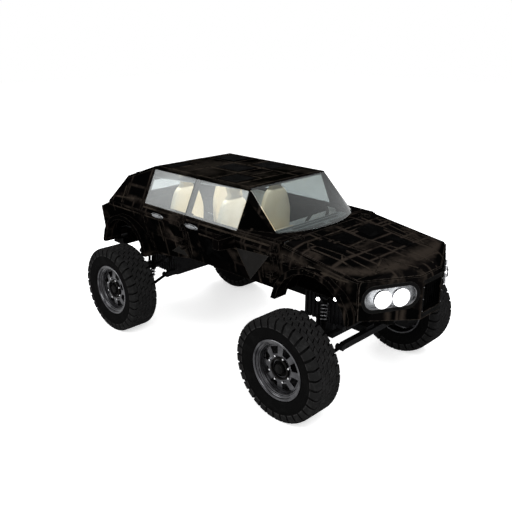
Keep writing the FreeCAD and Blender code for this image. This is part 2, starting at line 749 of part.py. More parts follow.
def make_screen_pillar(side, post_front):
    """Black triangle between windscreen and side window, with the belt cap that carries it."""
    low = belt_height + panel_gap
    high = low + glass_thickness + glass_gap
    start = cabin_front + panel_gap / 2
    cap = upright([
        (start, side * belt_half_width),
        (post_front, side * (belt_half_width - pillar_depth)),
        (post_front, side * screen_half_width),
        (start, side * screen_half_width),
    ], low, high)
    post_top = box((front_post_rear, post_front), (side * (belt_half_width - door_depth),
                   side * (belt_half_width - pillar_depth)), (belt_height - pillar_depth, high))
    base = [
        Vector(start, side * (belt_half_width - glass_inset), low),
        Vector(screen_corner, side * (screen_half_width + panel_gap), low),
        Vector(screen_corner - pillar_depth, side * (screen_half_width + seat_gap), low),
        Vector(start, side * (belt_half_width - door_depth), low),
    ]
    outer = roof_half_width + panel_gap
    inner = roof_half_width - glass_thickness
    head = [
        Vector(start, side * outer, roof_underside),
        Vector(start + pillar_depth / 2, side * roof_half_width, roof_underside),
        Vector(start, side * inner, roof_underside),
        Vector(start - pillar_depth, side * (inner - 2 * glass_thickness), roof_underside),
    ]
    pillar = faceted([base, head])
    return [cap, post_top, pillar]


def cabin_hull(low, high):
    """Whole width of the cabin between two heights, as wide as its skin."""
    sides = [side_slab(side, (tail_tip, nose_tip), (0, waist_half_width), (low, high)) for _, side in SIDES]
    return sides[0].fuse(sides[1])


def make_roof():
    """Roof sheet with its rear slope."""
    line = [(cabin_front, roof_height), (roof_rear, roof_height), (slope_rear, slope_height)]
    sheet_shape = across(band(line, -roof_thickness), -waist_half_width, waist_half_width)
    sheet_shape = sheet_shape.common(cabin_hull(belt_height, roof_height))
    axis = Vector(slope_rear - hinge_radius / 2, 0, slope_height + 3 * hinge_radius / 2)
    length = math.hypot(roof_rear - slope_rear, roof_height - slope_height)
    leaf_end = (slope_rear + (roof_rear - slope_rear) * hinge_leaf / length,
                slope_height + (roof_height - slope_height) * hinge_leaf / length)
    for side in (LEFT, RIGHT):
        at = side * rear_glass_half_width
        for direction in (LEFT, RIGHT):
            start = at + direction * (hinge_length / 2 + seat_gap)
            ends = sorted((start, start + direction * hinge_length / 2))
            sheet_shape = sheet_shape.fuse(lug(axis, leaf_end, *ends))
        pin_foot = Vector(axis.x, at - hinge_length, axis.z)
        pin_end = pin_foot + Vector(0, 2 * hinge_length, 0)
        sheet_shape = sheet_shape.fuse(rod(pin_foot, pin_end, hinge_pin_radius))
    feature("roof_panel", sheet_shape.removeSplitter())


def lug(axis, leaf_end, low, high):
    """Barrel with its pin hole and the strap that runs to a point of the panel."""
    foot = Vector(axis.x, low, axis.z)
    end = Vector(axis.x, high, axis.z)
    barrel = rod(foot, end, hinge_radius)
    run = Vector(leaf_end[0] - axis.x, 0, leaf_end[1] - axis.z)
    run.normalize()
    tilt = Vector(-run.z, 0, run.x) * (hinge_radius / 2)
    ends = [Vector(axis.x, low, axis.z), Vector(leaf_end[0], low, leaf_end[1])]
    strap = prism([ends[0] + tilt, ends[1] + tilt, ends[1] - tilt, ends[0] - tilt], Vector(0, high - low, 0))
    return barrel.fuse(strap).cut(hole(foot, end, hinge_pin_radius + seat_gap))


def make_tailgate():
    """Bent tailgate hung from the roof's rear edge, with its glass."""
    first, second = tail_line[0], tail_line[1]
    length = math.hypot(second[0] - first[0], second[1] - first[1])
    gate = across(band(tail_line, -tailgate_wall), -tailgate_half_width, tailgate_half_width)
    gate = gate.common(behind_roof(0))
    low_share = rear_glass_margin / length
    pane = [tuple(first[i] + (second[i] - first[i]) * share for i in range(2))
            for share in (2 * low_share, 1.0 - low_share)]
    opening = across(band(offset_line(pane, overrun), -2 * overrun), -rear_glass_half_width,
                     rear_glass_half_width)
    gate = gate.cut(opening)
    inset = [tuple(pane[0][i] + (pane[1][i] - pane[0][i]) * seat_gap / length for i in range(2)),
             tuple(pane[1][i] - (pane[1][i] - pane[0][i]) * seat_gap / length for i in range(2))]
    face = offset_line(inset, -glass_inset)
    pane_solid = across(band(face, -glass_thickness), seat_gap - rear_glass_half_width,
                        rear_glass_half_width - seat_gap)
    axis = Vector(slope_rear - hinge_radius / 2, 0, slope_height + 3 * hinge_radius / 2)
    knuckle_share = hinge_leaf / length
    leaf_end = tuple(first[i] + (second[i] - first[i]) * knuckle_share for i in range(2))
    for side in (LEFT, RIGHT):
        at = side * rear_glass_half_width
        gate = gate.fuse(lug(axis, leaf_end, at - hinge_length / 2, at + hinge_length / 2))
    feature("tailgate", gate.removeSplitter())
    feature("tailgate_glass", pane_solid)


def nose_plan(inset):
    """Half plan of the swept nose, from the bonnet's rear edge round to the other side."""
    ahead = [(corner_at, corner_half_width), (nose_tip, nose_half_width)]
    line = [(fender_rear - overrun, corner_half_width)] + ahead
    line += [(x, -y) for x, y in line[::-1]]
    return offset_line(line, inset)


def seam_solid(nose_height, corner_height, rear_height, up):
    """Half space above or below the seam between bonnet and fenders."""
    limit = 2 * roof_height if up else -roof_height
    outline = [
        (fender_rear - overrun, rear_height + (rear_height - corner_height)
         / (corner_at - fender_rear) * overrun),
        (corner_at, corner_height),
        (nose_tip + overrun, nose_height),
        (nose_tip + overrun, limit),
        (fender_rear - overrun, limit),
    ]
    return across(outline, -flare_half_width, flare_half_width)


def bonnet_side_fall(side, inset):
    """Space over one falling side of the bonnet, outside its crease."""
    slope = (bonnet_rear_height - bonnet_nose_height) / (nose_tip - bonnet_rear)
    turn_in = (crease_rear_half_width - crease_nose_half_width) / (nose_tip - bonnet_rear)
    length = nose_tip - bonnet_rear + 2 * overrun
    crease = crease_rear_half_width + turn_in * overrun
    height = bonnet_rear_height + slope * overrun - inset
    reach = crease + overrun
    section = [(crease, height), (reach, height - bonnet_side_fall_share * overrun), (reach, height + overrun),
               (crease, height + overrun)]
    corners = [Vector(bonnet_rear - overrun, side * y, z) for y, z in section]
    return prism(corners, Vector(length, -side * turn_in * length, -slope * length))


def bonnet_solid(inset, rounding):
    """Rounded wedge of the bonnet with its falling sides, shrunk by an inset."""
    plan = upright(nose_plan(inset), seam_nose_height - overrun, 2 * belt_height)
    slope = (bonnet_rear_height - bonnet_nose_height) / (nose_tip - bonnet_rear)
    rear = bonnet_rear - overrun
    top_line = [
        (rear, bonnet_rear_height + slope * overrun - inset),
        (nose_tip + overrun, bonnet_nose_height - slope * overrun - inset),
    ]
    under = across(top_line + [(nose_tip + overrun, 0), (rear, 0)], -flare_half_width, flare_half_width)
    body = plan.common(under)
    round_edges = [
        edge for edge in body.Edges
        if edge.BoundBox.ZMin > seam_nose_height - inset and edge.BoundBox.XMax > corner_at
        and edge.BoundBox.XMin > corner_at - overrun
    ]
    body = body.makeFillet(rounding, round_edges)
    return body.cut(bonnet_side_fall(LEFT, inset)).cut(bonnet_side_fall(RIGHT, inset))


def make_bonnet():
    """Clamshell bonnet with its rounded swept front."""
    outer = bonnet_solid(0, bonnet_round)
    inner = bonnet_solid(bonnet_wall, bonnet_round - bonnet_wall)
    shell = outer.cut(inner)
    keep = box((bonnet_rear, nose_tip + overrun), (-flare_half_width, flare_half_width), (0, 2 * belt_height))
    shell = shell.common(keep)
    shell = shell.common(seam_solid(seam_nose_height, seam_corner_height, seam_rear_height, True))
    axis = bonnet_rear
    for side in (LEFT, RIGHT):
        at = side * bonnet_hinge_offset
        foot = Vector(axis, at - hinge_length / 2, bonnet_rear_height + hinge_radius)
        end = foot + Vector(0, hinge_length, 0)
        barrel = rod(foot, end, hinge_radius)
        strap = box((axis, axis + hinge_leaf), (at - hinge_length / 2, at + hinge_length / 2),
                    (bonnet_rear_height - hinge_radius - hinge_radius, bonnet_rear_height + hinge_radius))
        shell = shell.fuse(barrel).fuse(strap)
        shell = shell.cut(hole(foot, end, hinge_pin_radius + seat_gap))
    feature("bonnet", shell.removeSplitter())


def fender_body(side, inset):
    """Filled fender from the centre out to its skin, which turns in toward the nose's corner."""
    rows = (
        (nose_foot_height - overrun, fender_foot_half_width),
        (corner_foot_height, fender_foot_half_width),
        (fender_waist_height, fender_waist_half_width),
        (seam_rear_height, corner_half_width),
        (seam_rear_height + overrun, corner_half_width),
    )
    section = [(0, rows[0][0])] + [(side * (y - inset), z) for z, y in rows] + [(0, rows[-1][0])]
    plan = upright([
        (fender_rear, 0),
        (fender_rear, side * (flare_half_width - inset)),
        (front_arch_at, side * (flare_half_width - inset)),
        (corner_at - panel_gap, side * (corner_half_width + liner_thickness - inset)),
        (corner_at - panel_gap, 0),
    ], 0, roof_height)
    return along(section, fender_rear, corner_at).common(plan)


def make_fenders():
    """Front fenders with arch, flare and inner liner."""
    for word, side in SIDES:
        shape = fender_body(side, 0).cut(fender_body(side, fender_wall))
        shape = shape.common(seam_solid(seam_nose_height - panel_gap, seam_corner_height - panel_gap,
                                        seam_rear_height - panel_gap, False))
        foot = across([
            (fender_rear, sill_front_height),
            (corner_at, corner_foot_height),
            (corner_at, roof_height),
            (fender_rear, roof_height),
        ], side * rocker_inner, side * flare_half_width)
        shape = shape.common(foot)
        shape = shape.cut(arch_cylinder(side, front_arch_at, front_arch_height, front_arch_inner,
                                        (rocker_inner, flare_half_width + overrun)))
        flare = arch_flare(side, front_arch_at, front_arch_height, front_arch_inner, front_arch_outer,
                           front_arch_height + flare_foot)
        flare = flare.common(upright([
            (front_post_rear, 0), (front_post_rear, side * 2 * flare_half_width),
            (corner_at - panel_gap, side * 2 * flare_half_width), (corner_at - panel_gap, 0),
        ], 0, roof_height))
        liner = arch_liner(side, front_arch_at, front_arch_height, front_arch_inner,
                           fender_foot_half_width - liner_thickness)
        below = seam_solid(seam_nose_height - panel_gap, seam_corner_height - panel_gap,
                           seam_rear_height - panel_gap, False)
        feature(f"front_fender_{word}", fuse([shape, flare.common(below), liner.common(below)]))


def make_nose():
    """Swept nose panel with its lamp and grille openings."""
    outer = upright(nose_plan(0)[1:5], nose_foot_height - overrun, 2 * belt_height)
    outer = outer.cut(upright(nose_plan(nose_wall), 0, 3 * belt_height))
    keep = seam_solid(seam_nose_height - panel_gap, seam_corner_height - panel_gap,
                      seam_rear_height - panel_gap, False)
    shape = outer.common(keep)
    foot = across([
        (corner_at - overrun, corner_foot_height),
        (corner_at, corner_foot_height),
        (nose_tip, nose_foot_height),
        (nose_tip + overrun, nose_foot_height),
        (nose_tip + overrun, belt_height),
        (corner_at - overrun, belt_height),
    ], -flare_half_width, flare_half_width)
    shape = shape.common(foot).common(bonnet_solid(0, bonnet_round).fuse(
        upright(nose_plan(0), nose_foot_height - overrun, bonnet_nose_height - bonnet_round)))
    half = nose_half_width - grille_bar
    window = box((nose_tip - overrun, nose_tip + overrun), (-half, half),
                 (seam_nose_height - grille_height, seam_nose_height - 2 * grille_bar))
    shape = shape.cut(window)
    for _, side in SIDES:
        shape = shape.cut(lamp_solid(side, -nose_wall - overrun, overrun, 0))
    feature("nose_panel", shape.removeSplitter())


def lamp_frame(side):
    """Centre of the headlamp face, the direction along it and the direction out of it."""
    start = Vector(nose_tip, side * nose_half_width, lamp_centre_height)
    end = Vector(corner_at, side * corner_half_width, lamp_centre_height)
    run = end - start
    centre = start + run * 0.5
    run.normalize()
    out = Vector(abs(run.y), side * abs(run.x), 0)
    return centre, run, out


def lamp_solid(side, low, high, shrink):
    """Pill-shaped bar square to the swept face, between two distances out of it."""
    centre, run, out = lamp_frame(side)
    radius = lamp_height / 2 - shrink
    half = lamp_length / 2 - lamp_height / 2
    corners = []
    for end in (1, -1):
        for index in range(lamp_arc_count + 1):
            angle = math.pi * index / lamp_arc_count - math.pi / 2
            along_run = end * (half + radius * math.cos(angle))
            corners.append(centre + run * along_run + Vector(0, 0, end * radius * math.sin(angle)) + out * low)
    return prism(corners, out * (high - low))


def make_lamps():
    """Headlamp units with two round bowls each, and the tail lamps."""
    units = []
    for _, side in SIDES:
        centre, run, out = lamp_frame(side)
        parts = [lamp_solid(side, -nose_wall, -lamp_recess, seat_gap)]
        for direction in (1, -1):
            middle_of_bowl = centre + run * (direction * lamp_bowl_spread)
            parts.append(rod(middle_of_bowl - out * (nose_wall / 2), middle_of_bowl - out * (lamp_recess / 4),
                             lamp_bowl_radius, ring_side_count))
        units.append(fuse(parts))
    feature("headlamps", Part.makeCompound(units))
    tails = []
    upper, lower = tail_line[2], tail_line[3]
    line = [tuple(upper[i] + (lower[i] - upper[i]) * share for i in range(2)) for share in tail_lamp_shares]
    for _, side in SIDES:
        inner = tailgate_half_width + 2 * panel_gap
        outer_edge = sill_half_width - panel_gap
        tails.append(across(band(offset_line(line, 2 * glass_thickness), -2 * glass_thickness),
                            side * inner, side * outer_edge))
    feature("tail_lamps", Part.makeCompound(tails))


def make_grille():
    """Upright slats between a top and a foot bar."""
    half = nose_half_width - grille_bar - seat_gap
    low = seam_nose_height - grille_height + seat_gap
    high = seam_nose_height - 2 * grille_bar - seat_gap
    front = nose_tip - grille_bar / 2
    bars = [
        box((front - grille_depth, front), (-half, half), (low, low + grille_bar)),
        box((front - grille_depth, front), (-half, half), (high - grille_bar, high)),
    ]
    pitch = (2 * half - grille_slat_width) / (grille_slat_count - 1)
    for index in range(grille_slat_count):
        start = index * pitch - half
        bars.append(box((front - grille_depth, front), (start, start + grille_slat_width), (low, high)))
    feature("grille", fuse(bars))


def bow(corner_x, middle_x, half_width, height):
    """Flat-sided arc across the vehicle, from the right corner to the left one."""
    rise = middle_x - corner_x
    radius = (half_width * half_width + rise * rise) / (2 * rise)
    opening = math.asin(half_width / radius)
    points = []
    for index in range(screen_facet_count + 1):
        angle = opening * (2 * index / screen_facet_count - 1)
        points.append(Vector(middle_x - radius * (1 - math.cos(angle)), radius * math.sin(angle), height))
    return points


def make_windscreen():
    """Windscreen: straight at the roof, bowed forward at its foot."""
    foot = bonnet_rear_height + seat_gap
    head_x = cabin_front + seat_gap + glass_thickness
    rings = []
    for points, back in (
        (bow(screen_corner, screen_middle, screen_half_width, foot), 2 * glass_thickness),
        (bow(head_x, head_x + glass_thickness, roof_half_width - panel_gap, roof_height - glass_gap),
         glass_thickness),
    ):
        shifted = [point - Vector(back, 0, 0) for point in points]
        rings.append(points + shifted[::-1])
    feature("windscreen", faceted(rings))


def make_cowl():
    """Cowl plate under the windscreen with the bulkhead below it."""
    front = bonnet_rear - panel_gap
    half = screen_half_width - seat_gap
    low = bonnet_rear_height - bulkhead_thickness
    corners = bow(screen_corner - pillar_depth, screen_middle - pillar_depth, half, low)
    corners += [Vector(front, half, low), Vector(front, -half, low)]
    plate = prism(corners, Vector(0, 0, bulkhead_thickness))
    wall = box((front_post_rear, front_post_rear + bulkhead_thickness),
               (seat_gap - rocker_inner, rocker_inner - seat_gap),
               (floor_height, bonnet_rear_height - bulkhead_thickness))
    parts = [plate, wall]
    for side in (LEFT, RIGHT):
        at = side * bonnet_hinge_offset
        for direction in (LEFT, RIGHT):
            start = at + direction * (hinge_length / 2 + seat_gap)
            foot = Vector(bonnet_rear, start, bonnet_rear_height + hinge_radius)
            knuckle = rod(foot, foot + Vector(0, direction * hinge_length / 2, 0), hinge_radius)
            strap = box((bonnet_rear - hinge_leaf, bonnet_rear), (start, start + direction * hinge_length / 2),
                        (bonnet_rear_height - hinge_radius, bonnet_rear_height + hinge_radius))
            parts += [knuckle, strap]
        pin_foot = Vector(bonnet_rear, at - hinge_length, bonnet_rear_height + hinge_radius)
        parts.append(rod(pin_foot, pin_foot + Vector(0, 2 * hinge_length, 0), hinge_pin_radius))
    feature("cowl_panel", fuse(parts))


def make_floor():
    """Cabin and load floor, cut round the rear wheel housings."""
    rear = tail_inside(floor_height + floor_thickness)
    plate = box((rear, front_post_rear), (-floor_half_width, floor_half_width),
                (floor_height, floor_height + floor_thickness))
    for _, side in SIDES:
        plate = plate.cut(arch_cylinder(side, rear_arch_at, rear_arch_height, rear_arch_inner + panel_gap,
                                        (liner_half_width - seat_gap, flare_half_width)))
        plate = plate.cut(box((sill_rear - seat_gap, nose_tip), (side * (rocker_inner - seat_gap),
                                                                 side * flare_half_width),
                              (0, roof_height)))
    feature("cabin_floor", plate.removeSplitter())


def ribbed_block(centre, half_width, foot):
    """Finned housing between the rails at one axle."""
    block = box((centre - housing_half_length, centre + housing_half_length),
                (-half_width + rib_depth, half_width - rib_depth), (foot, housing_top))
    parts = [block]
    start = centre - housing_half_length
    count = int(2 * housing_half_length / rib_pitch)
    for index in range(count):
        low = start + index * rib_pitch + (rib_pitch - rib_width) / 2
        parts.append(box((low, low + rib_width), (-half_width, half_width), (foot, housing_top)))
    return fuse(parts)


def arm_beams(axle):
    """Cross beams that carry the lower arm pivots, joined by a spine."""
    z_pair = (lower_arm_inner_height - joint_radius, lower_arm_inner_height + joint_radius)
    reach = arm_pivot_offset - joint_radius
    beams = []
    for direction in (1, -1):
        at = axle + direction * arm_spread
        beams.append(box((at - joint_radius, at + joint_radius), (-reach, reach), z_pair))
    spine_top = lower_arm_inner_height + 2 * joint_radius
    beams.append(box((axle - arm_spread, axle + arm_spread), (-2 * joint_radius, 2 * joint_radius),
                     (lower_arm_inner_height - joint_radius / 2, spine_top)))
    return beams


def make_chassis():
    """Ladder frame, ribbed axle housings, bumper, engine and shafts."""
    rail_top = rail_foot + rail_depth
    front_face = front_axle - housing_half_length
    rail_rear = tail_inside(rail_top)
    tower_half = coil_radius
    rails = []
    cut = upright(nose_plan(nose_wall + seat_gap), 0, roof_height)
    for _, side in SIDES:
        y_pair = (side * (rail_offset - rail_width / 2), side * (rail_offset + rail_width / 2))
        parts = [box((rail_rear, front_face), y_pair, (rail_foot, rail_top))]
        parts.append(box((rear_axle + coilover_top_advance - tower_half,
                          rear_axle + coilover_top_advance + tower_half),
                         (side * rail_offset, side * (coilover_top_offset + coil_radius)),
                         (coilover_top_height, coilover_top_height + tower_thickness)))
        parts.append(box((rail_rear, rail_rear + bumper_depth), y_pair, (rail_foot - bumper_drop, rail_top)))
        for direction in (1, -1):
            at = rear_axle + direction * arm_spread
            parts.append(box((at - joint_radius, at + joint_radius),
                             (side * rail_offset, side * (arm_pivot_offset - joint_radius)),
                             (upper_arm_inner_height - joint_radius, rail_top)))
        rails.append(fuse(parts))
        horn = box((front_axle + housing_half_length, nose_tip), y_pair, (rail_foot, rail_top))
        rails.append(horn.common(cut))
    feature("frame_rails", Part.makeCompound(rails))
    half = rail_offset - rail_width / 2 - seat_gap
    stations = (rail_rear, middle_post, front_face - crossmember_width, corner_at - crossmember_width)
    feature("frame_crossmembers", Part.makeCompound([
        box((at, at + crossmember_width), (-half, half), (rail_foot, rail_top)) for at in stations]))
    front_block = [ribbed_block(front_axle, front_housing_half_width, front_housing_foot)]
    for _, side in SIDES:
        front_block.append(box(
            (front_axle + coilover_top_advance - tower_half, front_axle + coilover_top_advance + tower_half),
            (side * (front_housing_half_width - 2 * rib_depth), side * (coilover_top_offset + coil_radius)),
            (coilover_top_height, coilover_top_height + tower_thickness)))
    front_block.append(box((front_axle - 2 * housing_half_length / 5, front_axle + 2 * housing_half_length / 5),
                           (-front_housing_half_width, front_housing_half_width),
                           (shaft_inner_height - 2 * boot_radius, front_housing_foot)))
    front_block.extend(arm_beams(front_axle))
    feature("front_housing", fuse(front_block))
    rear_block = [ribbed_block(rear_axle, rear_housing_half_width, rear_housing_foot)]
    rear_block.extend(arm_beams(rear_axle))
    feature("rear_housing", fuse(rear_block))
    engine = doc.addObject("Part::Box", "engine_block")
    engine.Label = "engine_block"
    engine.setExpression("Length", engine_length.text)
    engine.setExpression("Width", (2 * engine_half_width).text)
    engine.setExpression("Height", engine_height.text)
    engine.setExpression("Placement.Base.x", (front_axle - housing_half_length).text)
    engine.setExpression("Placement.Base.y", (-engine_half_width).text)
    engine.setExpression("Placement.Base.z", housing_top.text)
    pieces["engine_block"] = engine
    bumper_top = rail_foot - bumper_drop
    bar = box((tail_tip, rail_rear + bumper_depth), (-bumper_half_width, bumper_half_width),
              (bumper_top - bumper_height, bumper_top))
    half = receiver_size / 2
    centre = bumper_top - bumper_height / 2
    tube = box((tail_tip, tail_tip + receiver_length), (-half, half), (centre - half, centre + half))
    bore_half = receiver_bore / 2
    bore = box((tail_tip - overrun, tail_tip + receiver_length - bumper_depth / 2), (-bore_half, bore_half),
               (centre - bore_half, centre + bore_half))
    feature("rear_bumper", fuse([bar, tube]).cut(bore))


def suspension_arm(axle, side, inner_height, lift):
    """One A-arm from its two frame pivots to the ball joint."""
    ball_z = tyre_radius + lift * (knuckle_half_height + joint_height / 2 + seat_gap)
    ball = Vector(axle, side * kingpin_offset, ball_z)
    neck_offset = kingpin_offset - kingpin_radius - joint_radius
    neck_y = side * neck_offset
    rise = Vector(0, 0, joint_height / 2)
    parts = [rod(ball - rise, ball + rise, joint_radius)]
    parts.append(rod(Vector(axle - arm_neck_spread, neck_y, ball_z),
                     Vector(axle + arm_neck_spread, neck_y, ball_z), arm_neck_radius))
    parts.append(box((axle - arm_radius, axle + arm_radius), (neck_y, side * kingpin_offset),
                     (ball_z - joint_height / 3, ball_z + joint_height / 3)))
    neck_reach = arm_neck_spread - arm_radius
    for direction in (1, -1):
        pivot = Vector(axle + direction * arm_spread, side * arm_pivot_offset, inner_height)
        parts.append(rod(pivot, Vector(axle + direction * neck_reach, neck_y, ball_z), arm_radius))
        reach = Vector(pivot_length / 2, 0, 0)
        parts.append(rod(pivot - reach, pivot + reach, joint_radius - seat_gap))
    share = (coilover_foot_offset - arm_pivot_offset) / (neck_offset - arm_pivot_offset)
    cross_z = inner_height + (ball_z - inner_height) * share
    if lift < 0:
        spread = arm_spread + (neck_reach - arm_spread) * share
        parts.append(rod(Vector(axle - spread, side * coilover_foot_offset, cross_z),
                         Vector(axle + spread, side * coilover_foot_offset, cross_z), arm_cross_radius))
    return fuse(parts), cross_z + arm_cross_radius


def make_suspension():
    """Arms, coil-overs, knuckles, carriers and half shafts."""
    arms = []
    coilovers = []
    shafts = []
    carriers = []
    for axle, inner_half in ((front_axle, front_housing_half_width), (rear_axle, rear_housing_half_width)):
        for word, side in SIDES:
            upper, _ = suspension_arm(axle, side, upper_arm_inner_height, 1)
            lower, seat_height = suspension_arm(axle, side, lower_arm_inner_height, -1)
            arms.extend([upper, lower])
            inner_boot = Vector(axle, side * (inner_half + boot_radius + seat_gap), shaft_inner_height)
            outer_boot = Vector(axle, side * (kingpin_offset - kingpin_radius - boot_radius - seat_gap),
                                tyre_radius)
            reach = Vector(0, boot_radius, 0)
            shafts.append(fuse([rod(inner_boot, outer_boot, shaft_radius)] + [
                rod(boot - reach, boot + reach, boot_radius) for boot in (inner_boot, outer_boot)]))
            top = Vector(axle + coilover_top_advance, side * coilover_top_offset,
                         coilover_top_height - damper_radius / 5)
            foot = Vector(axle + coilover_foot_advance, side * coilover_foot_offset,
                          seat_height + damper_radius / 5)
            coilovers.append(coilover(foot, top))
            hub = hub_carrier(axle, side)
            if axle == front_axle:
                feature(f"knuckle_{word}", hub)
            else:
                carriers.append(hub)
    feature("suspension_arms", Part.makeCompound(arms))
    feature("coilovers", Part.makeCompound(coilovers))
    feature("rear_hub_carriers", Part.makeCompound(carriers))
    shafts.append(rod(Vector(rear_axle + housing_half_length, 0, rail_foot - propshaft_radius),
                      Vector(front_axle - housing_half_length, 0, rail_foot - propshaft_radius),
                      propshaft_radius))
    feature("drive_shafts", Part.makeCompound(shafts))


def coilover(foot, top):
    """Damper body with rings for the coil round it."""
    run = top - foot
    parts = [rod(foot, top, damper_radius)]
    count = int(run.Length * coil_share / coil_pitch)
    direction = Vector(run)
    direction.normalize()
    start = foot + direction * (2 * coil_pitch)
    for index in range(count):
        centre = start + direction * (index * coil_pitch)
        parts.append(rod(centre, centre + direction * (2 * coil_wire), coil_radius))
    return fuse(parts)


def hub_carrier(axle, side):
    """Upright post with the spindle that the wheel turns on."""
    centre = Vector(axle, side * kingpin_offset, tyre_radius)
    rise = Vector(0, 0, knuckle_half_height)
    post = rod(centre - rise, centre + rise, kingpin_radius)
    flange_end = centre + Vector(0, side * (kingpin_radius + carrier_flange_length), 0)
    flange = rod(centre, flange_end, carrier_flange, ring_side_count)
    hub_face = track_half + tyre_width / 2 - rim_disc_inset - hub_length
    spindle = rod(centre, Vector(axle, side * (hub_face + hub_length), tyre_radius), spindle_radius,
                  ring_side_count)
    return fuse([post, flange, spindle])


def round_ring(radius, offset):
    """Flat-sided ring round the wheel's axis, one flat to each tread block."""
    reach = radius / math.cos(math.pi / tread_block_count)
    angles = [2 * math.pi * (index + 0.5) / tread_block_count for index in range(tread_block_count)]
    points = [Vector(reach * math.cos(angle), offset, reach * math.sin(angle)) for angle in angles]
    return points


def tyre_solid():
    """Tyre round the origin, with a groove between each two shoulder blocks."""
    half = tyre_width / 2
    profile = [
        (rim_radius + seat_gap, half - shoulder_drop),
        (tyre_radius - sidewall_height, half),
        (tyre_radius, half - tread_round),
    ]
    rings = [round_ring(radius, offset) for radius, offset in profile]
    rings += [round_ring(radius, -offset) for radius, offset in profile[::-1]]
    solid = faceted(rings, True)
    grooves = []
    for index in range(tread_block_count):
        for side, phase in ((LEFT, 0.5), (RIGHT, 0.0)):
            groove = box((-groove_width / 2, groove_width / 2), (side * groove_start, side * tyre_width),
                         (tyre_radius - groove_depth, 2 * tyre_radius))
            turn = 360.0 * (index + phase) / tread_block_count
            groove.rotate(Vector(0, 0, 0), Vector(0, 1, 0), turn)
            grooves.append(groove)
    return solid.cut(grooves)


def rim_solid():
    """Deep-dish wheel round the origin, its face toward +Y, with its slots and its hub."""
    half = tyre_width / 2
    disc = half - rim_disc_inset
    lip = half - shoulder_drop - seat_gap

    def drum(radius, low, high):
        return rod(Vector(0, low, 0), Vector(0, high, 0), radius, rim_side_count)

    barrel = drum(rim_radius, -lip, lip).cut(drum(rim_radius - rim_wall, -tyre_width, tyre_width))
    face = drum(rim_radius - rim_wall / 2, disc - rim_disc_thickness, disc)
    hub = rod(Vector(0, disc - hub_length, 0), Vector(0, disc, 0), hub_radius, ring_side_count)
    wheel = fuse([barrel, face, hub])
    cutters = [hole(Vector(0, -tyre_width, 0), Vector(0, tyre_width, 0), spindle_radius + seat_gap,
                    ring_side_count)]
    for index in range(rim_slot_count):
        inner, outer = rim_slot_inner_width / 2, rim_slot_outer_width / 2
        slot = prism([Vector(rim_slot_inner, 0, -inner), Vector(rim_slot_outer, 0, -outer),
                      Vector(rim_slot_outer, 0, outer), Vector(rim_slot_inner, 0, inner)],
                     Vector(0, tyre_width, 0))
        slot.rotate(Vector(0, 0, 0), Vector(0, 1, 0), 360.0 * (index + 0.5) / rim_slot_count)
        cutters.append(slot)
    return wheel.cut(cutters)


def make_wheels():
    """Four tyres and rims."""
    tyre = tyre_solid()
    rim = rim_solid()
    for end, axle in (("front", front_axle), ("rear", rear_axle)):
        for word, side in SIDES:
            turned = FreeCAD.Rotation(Vector(0, 0, 1), 90.0 * (1 - side))
            place = FreeCAD.Placement(Vector(axle, side * track_half, tyre_radius), turned)
            for name, solid in (("tyre", tyre), ("rim", rim)):
                feature(f"{name}_{end}_{word}", solid.transformed(place.toMatrix(), True))


def make_dash():
    """Dashboard and steering wheel."""
    front = front_post_rear
    profile = [(front, dash_top), (dash_rear + dash_nose_drop, dash_top),
               (dash_rear, dash_top - dash_nose_drop), (dash_rear + dash_nose_drop, dash_foot),
               (front, dash_foot)]
    dash = across(profile, -dash_half_width, dash_half_width)
    feature("dashboard", dash)
    tilt = math.radians(steering_tilt)
    centre = Vector(steering_wheel_at, seat_offset, steering_wheel_height)
    axis = Vector(-math.cos(tilt), 0, math.sin(tilt))
    depth = axis * wheel_ring_thickness
    inner = wheel_ring_radius - wheel_ring_thickness
    ring = rod(centre - depth, centre + depth, wheel_ring_radius + wheel_ring_thickness, ring_side_count)
    ring = ring.cut(rod(centre - depth * 2, centre + depth * 2, inner, ring_side_count))
    reach = Vector(0, wheel_ring_radius, 0)
    spoke = rod(centre - reach, centre + reach, wheel_ring_thickness)
    run = (dash_rear - steering_wheel_at) / math.cos(tilt)
    column = rod(centre, centre - axis * (run + dash_nose_drop / 4), column_radius)
    feature("steering_wheel", fuse([ring, spoke, column]).cut(dash))


def seat_solid(side, back):
    """One seat: a cushion, and a back that narrows through its shoulders to the headrest."""
    foot = floor_height + floor_thickness
    top = foot + cushion_height
    middle_line = side * seat_offset
    y_pair = (middle_line - seat_width / 2, middle_line + seat_width / 2)
    cushion = box((back - seat_back_depth, back + seat_length), y_pair, (foot, top))
    shoulder = top + shoulder_share * seat_back_height
    neck = top + neck_share * seat_back_height
    head = top + seat_back_height
    half = [
        (seat_width / 2, foot),
        (seat_width / 2, top + waist_share * seat_back_height),
        (seat_shoulder_width / 2, shoulder),
        (neck_width / 2, neck),
        (headrest_width / 2, neck + headrest_flare),
        (headrest_width / 2, head - headrest_flare),
        (neck_width / 2, head),
    ]
    outline = [(middle_line + y, z) for y, z in half] + [(middle_line - y, z) for y, z in half[::-1]]
    return fuse([cushion, along(outline, back - seat_back_depth, back)])


def make_cabin():
    """Dashboard, steering wheel and the four seats."""
    make_dash()
    feature("front_seats", Part.makeCompound([seat_solid(side, front_seat_back) for _, side in SIDES]))
    feature("rear_seats", Part.makeCompound([seat_solid(side, rear_seat_back) for _, side in SIDES]))


